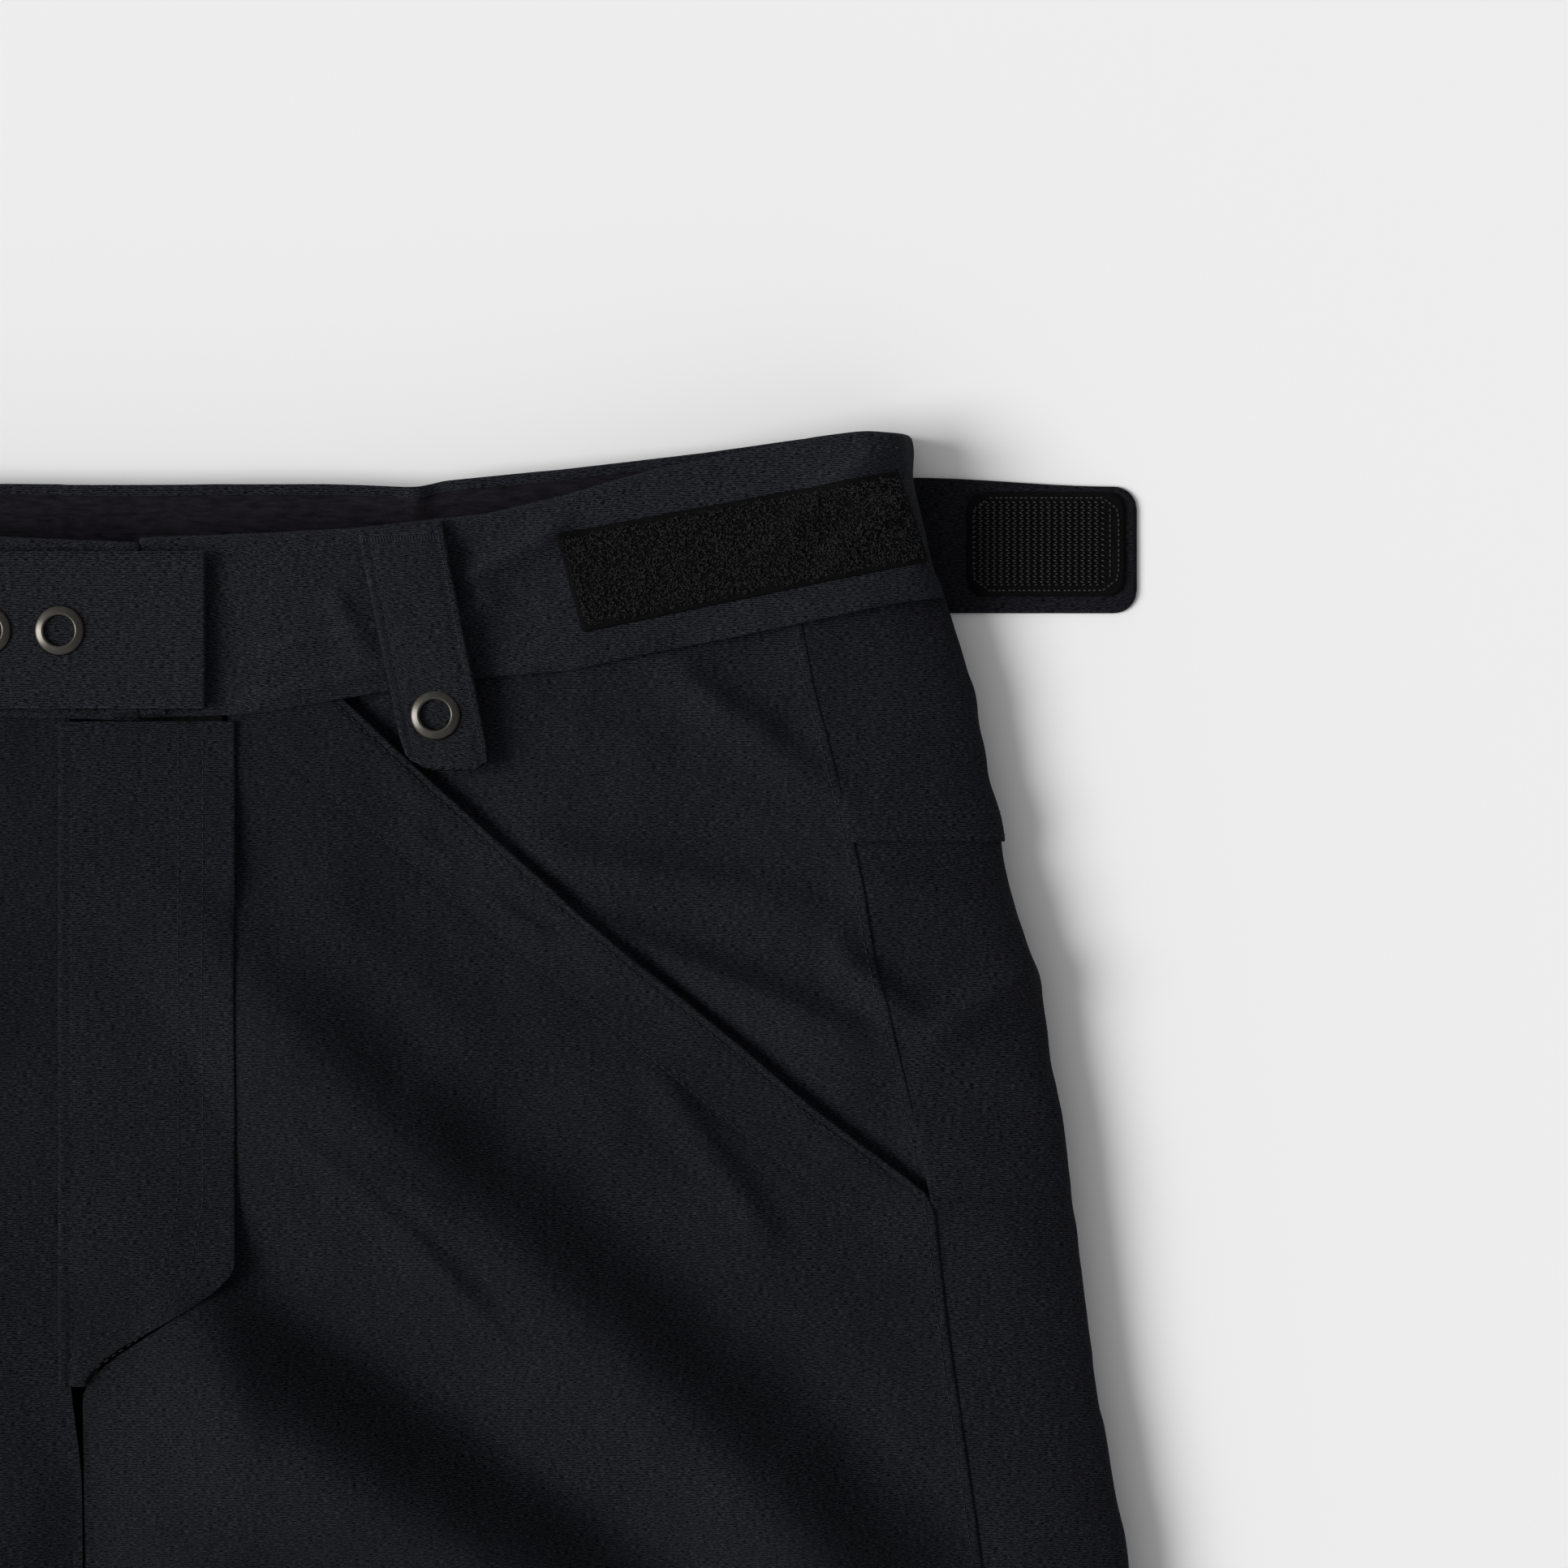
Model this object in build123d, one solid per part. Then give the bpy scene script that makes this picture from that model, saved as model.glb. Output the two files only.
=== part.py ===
"""Ski pants lying flat on their back, as an assembly of sewn panels, tapes, snaps and a zip.

Frame: millimetres, +Z up off the surface, +Y towards the waist, +X towards the wearer's left leg.
The origin is under the middle of the whole garment. Depth is measured down the garment from its
topmost edge, so a point's Y is TOP - depth. Names say left and right as the wearer would.
"""

from build123d import *
import math
import os

os.makedirs("parts", exist_ok=True)

# ---- driving dimensions ----
LENGTH = 1066.0                 # waist edge to hem
TOP = LENGTH / 2                # Y of the topmost edge
LOFT = 24.0                     # height of the garment lying flat
CLOTH = 2.0                     # shell cloth with its insulation
GAP = 0.3                       # clearance between neighbouring sewn pieces
SEAM_GAP = 0.5                  # gap along a seam between two panels
KNEE = 610.0                    # depth of the knee fold
CROTCH = 322.0                  # depth where the legs part
YOKE_HEM = 101.6                # depth of the side yoke's lower edge
INNER_FLANGE = 18.0             # how far the inner leg panel reaches in from its edge

# depth, outer edge X, side seam X, from the waistband seam down to the crotch
HIP_STATIONS = [
    (36, 211, 175.5), (55, 217, 178.5), (75, 221, 183), (YOKE_HEM, 227, 190), (130, 235, 195),
    (160, 240.5, 202.5), (187, 244.5, 209), (215, 248, 212.3), (250, 253.5, 217),
    (285, 259, 222), (CROTCH, 265, 226),
]
# depth, outer edge X, side seam X, inner edge X, from the crotch to the hem
LEG_STATIONS = [
    (CROTCH, 265, 226, 1.5), (352, 269, 230, 11), (400, 275, 236, 19), (460, 282, 243, 28),
    (530, 289, 250, 37), (KNEE, 294, 256, 46), (700, 299, 263, 56), (800, 303, 269, 65),
    (900, 306, 273, 72), (985, 308.5, 276.5, 77), (LENGTH, 310, 279, 80),
]
BAND_TOP = [(0, 27.5), (44, 25.8), (90, 22), (120, 16.2), (140, 10.2), (160, 6.2), (180, 2), (194, 0)]
BAND_SEAM = [(0, 71), (44, 69.8), (74, 64.4), (98, 61), (120, 59.4), (140, 55), (160, 50.8),
             (177, 47.4), (190, 44.8), (213, 40.8)]
BACK_TOP = [(0, 13.4), (60, 13), (89, 12.2), (120, 9.4), (154, 5.4), (178, 2), (190, 0.8)]
BACK_SEAM = [(0, 57), (60, 57), (120, 53), (154, 48.6), (178, 45.5), (190, 44.8)]
POCKET_EDGE = [(66, 67.4), (100, 98.8), (140, 133.8), (180, 166.8), (209, 187)]
POCKET_LAP = 25.0               # how far the pocket backing runs on under the pocket edge

BAND_T = 3.0
BAND_END = [(0, 203.6), (12, 205), (24, 208), (34, 210), (46, 213.5)]   # depth, outer edge X
BAND_FLANGE_X = 190.0
BACK_BAND_Z = 1.5               # the rear belt loops lie under the band
LINING_T = 1.2

TAPE_T = 1.5
LOOP_TAPE = [(118, 26), (199.5, 10.6), (207, 32), (124, 49.2)]
LOOP_TAPE_FLAT_X = 192.0        # past this the band curves away
TAB_ROOT_X, TAB_START_X, TAB_END_X = 180.0, 215.0, 260.6
TAB_TOP, TAB_BOTTOM, TAB_CORNER = 11.2, 44.2, 5.5
TAB_Z, TAB_T = 0.2, 1.2
TAB_HINGE = (214.0, 14.5)       # X and Z of the tab's fold line
HOOK_TAPE = (219.2, 257.6, 14.8, 39.8)
HOOK_CORNER = 4.0

STRAP_W, STRAP_T = 20.6, 1.4
STRAP_TOP, STRAP_END = 23.2, 81.4
STRAP_TOP_X = 79.0              # strap's centre line at the waist edge
STRAP_LEAN = 11.6               # how far the strap's lower end stands outwards
BELT_GAP = 5.0                  # room for a belt between strap and band
SNAP_AT = (87.4, 70.0)
RING_R, RING_HOLE, RING_T = 6.2, 3.7, 1.2
SOCKET_R, SOCKET_BORE, SOCKET_T = 5.2, 2.3, 2.2
POST_R, FLANGE_R, FLANGE_T = 2.0, 4.0, 0.7

BACKING_LOW, BACKING_HIGH = 17.2, 21.8   # top of the pocket backing inside and outside the pocket
BACKING_RAMP = (5.2, 7.4)       # where it rises, measured across the pocket edge
BAG_FLOOR, BAG_T = 14.2, 0.8
BAG = [(60, 72), (206, 194), (204, 236), (150, 262), (84, 236), (56, 150)]

CLOSURE_X = (-34.0, 30.0)       # the waist tab laps from the wearer's left over the right
CLOSURE_DEPTH = (30.5, 68.0)
CLOSURE_Z, CLOSURE_T = 26.8, 1.8
CLOSURE_SNAPS = (-23.0, -5.0)
CLOSURE_HINGE_X = 30.6
FLY_W, FLY_TOP, FLY_BOTTOM = 38.0, 74.0, 236.0
FLY_EDGE = -5.0                 # X of the flap's free edge, just past the zip
ZIP_TOP, ZIP_BOTTOM = 76.0, 226.0
ZIP_Z = 16.0
PIN_R, PIN_DEPTH, PIN_Z = 0.4, ZIP_TOP + 8.4, ZIP_Z + 4.1   # the zip pull's hinge pin
TOOTH_PITCH, TOOTH_L, TOOTH_W = 3.0, 1.4, 1.8

GAITER_TOP, GAITER_END = 925.0, 1052.0
GAITER_INSET = 14.0
GAITER_Z = (4.5, 19.5)
CUFF_H = 22.0


def at(x, depth, z=0.0):
    """A point of the garment from its X, its depth below the top edge, and its height."""
    return (x, TOP - depth, z)


def points(table):
    return [at(x, depth) for x, depth in table]


def shift(table, dx=0.0, dd=0.0):
    """The same outline moved sideways and down."""
    return [(x + dx, depth + dd) for x, depth in table]


def prism(edges, z0, z1):
    """A flat piece of cloth: a closed outline raised from z0 to z1."""
    face = make_face(edges)
    return Pos(0, 0, z0) * extrude(face, amount=z1 - z0, dir=(0, 0, 1))


def ring_of(*parts):
    """Edges of a closed outline from lists of (x, depth): two points are a line, more a spline.
    The gaps between one list's end and the next one's start are closed with lines."""
    edges = []
    for i, table in enumerate(parts):
        start = points(table)
        if len(start) == 2:
            edges.append(Line(*start))
        elif len(start) > 2:
            edges.append(Spline(*start))
        following = points(parts[(i + 1) % len(parts)])[0]
        if math.dist(start[-1], following) > 1e-6:
            edges.append(Line(start[-1], following))
    return edges


def corners(table):
    """An outline of straight runs, for ring_of."""
    return [[p] for p in table]


def polygon(table, z0, z1):
    return prism(ring_of(*corners(table)), z0, z1)


def slab(x0, x1, d0, d1, z0, z1):
    """A rectangular piece between two X and two depths."""
    return polygon([(x0, d0), (x1, d0), (x1, d1), (x0, d1)], z0, z1)


def mirrored(shape):
    return mirror(shape, about=Plane.YZ)


def channel_section(depth, edge_x, flange_x, z0, z1, wall):
    """A C-shaped section of a panel that turns over the garment's edge from front to back."""
    r = (z1 - z0) / 2
    way = 1 if edge_x > flange_x else -1
    cx, cz = edge_x - way * r, z0 + r
    inner = r - wall

    def p(x, z):
        return (x, TOP - depth, z)

    edges = [
        Line(p(flange_x, z1), p(cx, z1)),
        ThreePointArc(p(cx, z1), p(edge_x, cz), p(cx, z0)),
        Line(p(cx, z0), p(flange_x, z0)),
        Line(p(flange_x, z0), p(flange_x, z0 + wall)),
        Line(p(flange_x, z0 + wall), p(cx, z0 + wall)),
        ThreePointArc(p(cx, z0 + wall), p(cx + way * inner, cz), p(cx, z1 - wall)),
        Line(p(cx, z1 - wall), p(flange_x, z1 - wall)),
        Line(p(flange_x, z1 - wall), p(flange_x, z1)),
    ]
    return Face(Wire(edges))


def channel(rows, z0=0.0, z1=LOFT, wall=CLOTH):
    """A panel lofted through C-shaped sections; rows hold depth, edge X and flange X."""
    sections = [channel_section(d, edge, flange, z0, z1, wall) for d, edge, flange in rows]
    return loft(sections, ruled=True)


def between(rows, x, depth_end):
    """The value of a table's column x at a depth, straight between its rows."""
    for a, b in zip(rows, rows[1:]):
        if a[0] <= depth_end <= b[0]:
            share = (depth_end - a[0]) / (b[0] - a[0])
            return a[x] + share * (b[x] - a[x])
    return rows[-1][x]


def disc(x, depth, r, z0, z1, hole=0.0):
    body = Pos(x, TOP - depth, (z0 + z1) / 2) * Cylinder(r, z1 - z0)
    if hole:
        body -= Pos(x, TOP - depth, (z0 + z1) / 2) * Cylinder(hole, z1 - z0 + 1)
    return body


# ---- legs: panels between their seams ----
def leg_edges():
    """The inner and side edges of the thigh's flat panels, from the crotch to the knee."""
    inner = [(x + INNER_FLANGE + SEAM_GAP, d) for d, _, _, x in LEG_STATIONS[1:5]]
    seam = [(s - SEAM_GAP, d) for d, _, s, _ in LEG_STATIONS[1:5]]
    _, _, knee_seam, knee_inner = LEG_STATIONS[5]
    inner.append((knee_inner + INNER_FLANGE + SEAM_GAP, KNEE - SEAM_GAP))
    seam.append((knee_seam - SEAM_GAP, KNEE - SEAM_GAP))
    return inner, seam


def thigh_front(fly_x, fly_end):
    """Front panel: fly, crotch, inseam, knee, side seam, pocket edge and waistband seam."""
    inner, seam = leg_edges()
    hip = [(s - SEAM_GAP, d) for d, _, s in HIP_STATIONS[7:]]
    outline = ring_of(
        [(fly_x, FLY_TOP)], [(fly_x, fly_end)], [(0.4, FLY_BOTTOM)], [(0.4, CROTCH - 1)],
        [(LEG_STATIONS[0][3] + INNER_FLANGE + SEAM_GAP, CROTCH - 1)],
        *corners(inner), *corners(reversed(seam)), *corners(reversed(hip)),
        [(209 - SEAM_GAP, 187.4)], list(reversed(shift(POCKET_EDGE[:-1], -0.2, 0.2))),
        [(66, 65.6 + SEAM_GAP)], [(44, 69.8 + SEAM_GAP)],
    )
    return prism(outline, LOFT - CLOTH, LOFT)


def thigh_back():
    inner, seam = leg_edges()
    hip = [(s - SEAM_GAP, d) for d, _, s in HIP_STATIONS[1:]]
    outline = ring_of(
        [(0.4, 57 + SEAM_GAP)], [(0.4, CROTCH - 1)],
        [(LEG_STATIONS[0][3] + INNER_FLANGE + SEAM_GAP, CROTCH - 1)],
        *corners(inner), *corners(reversed(seam)), *corners(reversed(hip)),
        list(reversed(shift(BACK_SEAM[1:4] + [(176.2, 45.9)], 0, SEAM_GAP + 0.3))),
    )
    return prism(outline, 0, CLOTH)


def shin_plate(z0, z1):
    rows = LEG_STATIONS[5:]
    inner = [(x + INNER_FLANGE + SEAM_GAP, d) for d, _, _, x in rows]
    seam = [(s - SEAM_GAP, d) for d, _, s, _ in rows]
    inner[0] = (inner[0][0], KNEE + SEAM_GAP)
    seam[0] = (seam[0][0], KNEE + SEAM_GAP)
    return polygon(inner + list(reversed(seam)), z0, z1)


def seam_cutter(shift_down):
    """Everything above the waistband seam, for trimming the yoke; negative for trimming the band."""
    seam = shift(BAND_SEAM[5:], 0, shift_down)
    return prism(ring_of(seam, [(250, seam[-1][1])], [(250, -40)], [(140, -40)]), -1, LOFT + 1)


def side_yoke():
    rows = HIP_STATIONS[:3] + [(YOKE_HEM - 0.2, 227, 190)]
    return channel(rows) - seam_cutter(SEAM_GAP)


def side_thigh():
    rows = [(YOKE_HEM + 0.2, 227, 190)] + HIP_STATIONS[4:]
    rows += [(d, o, s) for d, o, s, _ in LEG_STATIONS[1:5]] + [(KNEE - SEAM_GAP, 294, 256)]
    return channel(rows)


def side_shin():
    rows = [(KNEE + SEAM_GAP, 294, 256)] + [(d, o, s) for d, o, s, _ in LEG_STATIONS[6:]]
    return channel(rows)


def inner_leg(rows, start, end):
    table = [(d, x, x + INNER_FLANGE) for d, _, _, x in rows]
    table[0] = (start, *table[0][1:])
    table[-1] = (end, *table[-1][1:])
    return channel(table)


def crotch_gusset():
    """The wall that closes the seat between the two legs."""
    return slab(-17, 17, CROTCH - 4, CROTCH - 2, CLOTH + GAP, LOFT - CLOTH - GAP)


# ---- waistband ----
def band_front(start_x):
    """Front of the band with the part that turns round the side of the waist."""
    top = [(start_x, 27.2)] + BAND_TOP[1:-1] + [(BAND_FLANGE_X, 0)]
    seam = [(start_x, 70.8)] + BAND_SEAM[1:9]
    front = prism(ring_of(top, list(reversed(seam))), LOFT - BAND_T, LOFT)
    rows = [(d, edge, BAND_FLANGE_X) for d, edge in BAND_END]
    side = channel(rows, BACK_BAND_Z, LOFT, BAND_T) - band_trim()
    return front + side


def band_trim():
    """Everything below the waistband seam near the side of the waist."""
    seam = BAND_SEAM[6:]
    return prism(ring_of(seam, [(250, 40.8)], [(250, 90)], [(160, 90)]), -1, LOFT + 1)


def band_front_right():
    """The right front runs on under the waist tab, so that its snap posts can stand there."""
    return mirrored(band_front(-14.0))


def band_back(z0, z1, inset=0.0):
    half_top = [(x, d + inset) for x, d in BACK_TOP[1:-1]] + [(BAND_FLANGE_X - SEAM_GAP - inset, 0.8 + inset)]
    half_seam = [(x, d - inset) for x, d in BACK_SEAM[1:-1]] + [(BAND_FLANGE_X - SEAM_GAP - inset, 44.8 - inset)]
    top = [(-x, d) for x, d in reversed(half_top)] + [(0, 13.4 + inset)] + half_top
    seam = [(-x, d) for x, d in reversed(half_seam)] + [(0, 57 - inset)] + half_seam
    return prism(ring_of(top, list(reversed(seam))), z0, z1)


def front_lining():
    """Brushed lining inside the left front of the band."""
    top = [(42, 27)] + [(90, 23.4), (120, 17.6), (160, 7.6), (184, 3)]
    seam = [(184, 44.5), (160, 49.6), (120, 57.8), (90, 61), (42, 68.6)]
    z1 = LOFT - BAND_T - GAP
    return prism(ring_of(top, seam), z1 - LINING_T, z1)


# ---- adjuster tabs and their tapes ----
def loop_tape():
    """Soft loop tape on the front of the band, up to where the band turns over the side."""
    (x0, d0), (x1, d1), (x2, d2), (x3, d3) = LOOP_TAPE
    share = (LOOP_TAPE_FLAT_X - x0) / (x1 - x0)
    low = (LOOP_TAPE_FLAT_X - x3) / (x2 - x3)
    corners = [(x0, d0), (LOOP_TAPE_FLAT_X, d0 + share * (d1 - d0)),
               (LOOP_TAPE_FLAT_X, d3 + low * (d2 - d3)), (x3, d3)]
    return polygon(corners, LOFT + GAP, LOFT + GAP + TAPE_T)


def rounded_strip(x0, x1, d0, d1, corner, z0, z1):
    """A strip whose two outer corners are round."""
    body = slab(x0, x1, d0, d1, z0, z1)
    outer = [e for e in body.edges().filter_by(Axis.Z) if e.center().X > x1 - 1]
    return fillet(outer, corner)


def tab_root():
    """The part of the tab that is sewn down behind the side of the band."""
    end = TAB_START_X - 1
    return polygon([(TAB_ROOT_X, TAB_TOP), (end, TAB_TOP), (end, BAND_SEAM[-1][1] - SEAM_GAP),
                    (TAB_ROOT_X, TAB_BOTTOM)], TAB_Z, TAB_Z + TAB_T)


def adjuster_tab():
    return rounded_strip(TAB_START_X, TAB_END_X, TAB_TOP, TAB_BOTTOM, TAB_CORNER, TAB_Z, TAB_Z + TAB_T)


def hook_tape():
    x0, x1, d0, d1 = HOOK_TAPE
    z0 = TAB_Z + TAB_T + 0.1
    body = slab(x0, x1, d0, d1, z0, z0 + TAPE_T)
    return fillet(body.edges().filter_by(Axis.Z), HOOK_CORNER)


# ---- belt loops with ring snaps ----
def strap_centre(depth):
    return STRAP_TOP_X + STRAP_LEAN * (depth - STRAP_TOP) / (STRAP_END - STRAP_TOP)


def belt_loop():
    """A strap that stands off the band so that a belt passes under it, then drops to its snap."""
    low, high = LOFT + GAP, LOFT + BELT_GAP + 0.1
    snap_z = 27.0
    profile = [(STRAP_TOP, low), (29, high), (57.5, high), (62.5, snap_z), (STRAP_END, snap_z)]
    under = [(0, TOP - d, z) for d, z in profile]
    over = [(0, TOP - d, z + STRAP_T) for d, z in profile]
    outline = Polyline(*under, *reversed(over), under[0])
    face = Face(Wire(outline.edges()))
    wide = extrude(face, amount=140, dir=(1, 0, 0))
    half = STRAP_W / 2 / math.cos(math.atan2(STRAP_LEAN, STRAP_END - STRAP_TOP))
    top, end = strap_centre(STRAP_TOP), strap_centre(STRAP_END)
    plan = polygon([(top - half, STRAP_TOP), (top + half, STRAP_TOP), (end + half, STRAP_END),
                    (end - half + 3, STRAP_END), (end - half - 0.6, STRAP_END - 4)], 0, 60)
    return wide & plan


def stud(x, depth, z0, z1):
    return disc(x, depth, FLANGE_R, z0, z0 + FLANGE_T) + disc(x, depth, POST_R, z0, z1)


# ---- pockets ----
def across_pocket(n, z):
    """A point of the pocket's cross-section: n across the pocket edge, outwards, at height z."""
    (x0, d0), (x1, d1) = POCKET_EDGE[0], POCKET_EDGE[-1]
    run = math.dist((x0, d0), (x1, d1))
    return at(x0 + n * (d1 - d0) / run, d0 - n * (x1 - x0) / run, z)


def pocket_backing():
    """The cloth seen in the open pocket: level with the front, then down under the pocket edge."""
    n0, n1 = BACKING_RAMP
    tops = [(-60, BACKING_LOW), (n0, BACKING_LOW), (n1, BACKING_HIGH), (120, BACKING_HIGH)]
    over = [across_pocket(n, z) for n, z in tops]
    under = [across_pocket(n, z - CLOTH) for n, z in tops]
    face = Face(Wire(Polyline(*over, *reversed(under), over[0]).edges()))
    (x0, d0), (x1, d1) = POCKET_EDGE[0], POCKET_EDGE[-1]
    along = Vector(x1 - x0, d0 - d1, 0)
    sheet = Pos(*(-along.normalized() * 40)) * extrude(face, amount=300, dir=along.normalized())

    return sheet & prism(backing_outline(), 0, LOFT)


def backing_outline():
    seam = [(s - SEAM_GAP, d) for d, _, s in HIP_STATIONS[1:7]]
    band = shift(BAND_SEAM[3:7], 0, SEAM_GAP)
    lap = [(x - POCKET_LAP * 0.65, d + POCKET_LAP * 0.75) for x, d in POCKET_EDGE[:-1]]
    return ring_of([(66, 67.0)], [(74, 65.6)], band, [(176.4, 48.8)], *corners(seam), [(208.5, 205)],
                   list(reversed(lap)))


def pocket_bag():
    """The bag's thin floor and rim, open along the pocket edge and closed above by the front panel."""
    middle = [sum(c) / len(BAG) for c in zip(*BAG)]
    inner = [(middle[0] + (x - middle[0]) * 0.985, middle[1] + (d - middle[1]) * 0.985) for x, d in BAG]
    inner[0] = (inner[0][0] + 4, inner[0][1] - 5)
    inner[1] = (inner[1][0] + 4, inner[1][1] - 5)
    tray = polygon(BAG, BAG_FLOOR, LOFT - CLOTH - GAP) - polygon(inner, BAG_FLOOR + BAG_T, LOFT)
    return tray - prism(backing_outline(), BAG_FLOOR + BAG_T, LOFT)


# ---- fly ----
def fly_flap():
    """The flap over the zip, sewn down along X = FLY_W and free at the other edge."""
    return polygon([(FLY_EDGE, FLY_TOP), (FLY_W - 0.2, FLY_TOP), (FLY_W - 0.2, FLY_BOTTOM - 27),
                    (0.4, FLY_BOTTOM - 1), (FLY_EDGE, FLY_BOTTOM - 1)], LOFT - CLOTH, LOFT)


def zip_tape(side):
    inner, outer = side * 2.6, side * 15
    return slab(min(inner, outer), max(inner, outer), ZIP_TOP, ZIP_BOTTOM, ZIP_Z, ZIP_Z + 0.8)


def zip_teeth():
    """Two chains of teeth, set half a pitch apart, with room between them for the slider's nose."""
    teeth = []
    count = int((ZIP_BOTTOM - ZIP_TOP - 24) / TOOTH_PITCH)
    for side in (-1, 1):
        for i in range(count):
            depth = ZIP_TOP + 18 + (i + (0.5 if side > 0 else 0)) * TOOTH_PITCH
            x0, x1 = sorted((side * 2.5, side * (2.5 - TOOTH_W)))
            half = TOOTH_L / 2
            teeth.append(slab(x0, x1, depth - half, depth + half, ZIP_Z - 0.6, ZIP_Z + 1.4))
    return teeth


def zip_slider():
    """The slider's two plates joined by its nose, round the teeth."""
    d0, d1 = ZIP_TOP + 4, ZIP_TOP + 16
    upper = slab(-4.6, 4.6, d0, d1, ZIP_Z + 1.8, ZIP_Z + 3.0)
    lower = slab(-4.6, 4.6, d0, d1, ZIP_Z - 2.2, ZIP_Z - 1.0)
    nose = slab(-0.4, 0.4, d0, d0 + 2.5, ZIP_Z - 1.2, ZIP_Z + 2.0)
    lug = slab(-1.2, 1.2, PIN_DEPTH - 1.2, PIN_DEPTH + 1.2, ZIP_Z + 2.9, PIN_Z + 0.7)
    pin = Pos(0, TOP - PIN_DEPTH, PIN_Z) * Rot(0, 90, 0) * Cylinder(PIN_R, 5.6)
    return upper + lower + nose + lug + pin


def zip_pull():
    """A flat tab whose forked end turns on the slider's pin."""
    z0, z1 = PIN_Z - 0.5, PIN_Z + 0.5
    body = slab(-2.6, 2.6, PIN_DEPTH - 0.7, PIN_DEPTH + 24, z0, z1)
    far = [e for e in body.edges().filter_by(Axis.Z) if e.center().Y < TOP - PIN_DEPTH - 20]
    body = fillet(far, 1.6)
    body -= slab(-1.5, 1.5, PIN_DEPTH - 1, PIN_DEPTH + 2.2, z0 - 1, z1 + 1)
    body -= slab(-1.4, 1.4, PIN_DEPTH + 17, PIN_DEPTH + 21, z0 - 1, z1 + 1)
    return body - Pos(0, TOP - PIN_DEPTH, PIN_Z) * Rot(0, 90, 0) * Cylinder(PIN_R + 0.06, 10)


# ---- leg ends ----
def flat_tube(rows, z0, z1, wall):
    """A flattened tube lofted through sections with round ends, then hollowed."""

    def section(depth, x0, x1, inset):
        r = (z1 - z0) / 2 - inset
        cz = (z0 + z1) / 2
        a, b = x0 + (z1 - z0) / 2, x1 - (z1 - z0) / 2

        def p(x, z):
            return (x, TOP - depth, z)

        edges = [
            Line(p(a, cz + r), p(b, cz + r)),
            ThreePointArc(p(b, cz + r), p(b + r, cz), p(b, cz - r)),
            Line(p(b, cz - r), p(a, cz - r)),
            ThreePointArc(p(a, cz - r), p(a - r, cz), p(a, cz + r)),
        ]
        return Face(Wire(edges))

    outer = loft([section(d, x0, x1, 0) for d, x0, x1 in rows])
    first, last = rows[0], rows[-1]
    longer = [(first[0] - 1, *first[1:]), *rows[1:-1], (last[0] + 1, *last[1:])]
    return outer - loft([section(d, x0, x1, wall) for d, x0, x1 in longer])


def leg_inside(depth):
    return (between(LEG_STATIONS, 3, depth) + GAITER_INSET, between(LEG_STATIONS, 1, depth) - GAITER_INSET)


def gaiter():
    depths = (GAITER_TOP, (GAITER_TOP + GAITER_END) / 2, GAITER_END - CUFF_H - GAP)
    return flat_tube([(d, *leg_inside(d)) for d in depths], *GAITER_Z, 0.9)


def gaiter_cuff():
    depths = (GAITER_END - CUFF_H, GAITER_END)
    rows = [(d, leg_inside(d)[0] + 5, leg_inside(d)[1] - 5) for d in depths]
    return flat_tube(rows, GAITER_Z[0] + 1, GAITER_Z[1] - 1, 1.6)


def scuff_guard():
    """The tough patch over the inside of the hem, lying on the front of the inner leg."""
    rows = LEG_STATIONS[9:]
    start, end = 960.0, LENGTH - 3
    x0, x1 = between(LEG_STATIONS, 3, start), rows[-1][3]
    return polygon([(x0 + 13, start + 30), (x0 + 24, start), (x0 + 84, start + 12), (x1 + 96, end), (x1 + 13, end)],
                   LOFT + 0.1, LOFT + 0.9)


def rear_belt_loops():
    """Three loops pressed flat between the band and the surface under it."""
    return [slab(x - 10, x + 10, 15, 53, 0.0, BACK_BAND_Z - GAP) for x in (-95, 0, 95)]


def both(name, shape):
    """Writes a piece of the wearer's left side and its mirror image for the right."""
    save("left_" + name, shape)
    save("right_" + name, mirrored(shape))


def save(name, shape):
    if isinstance(shape, (list, tuple)):
        shape = Compound(children=[s.solid() for s in shape])
    export_step(shape, f"parts/{name}.step")


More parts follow.
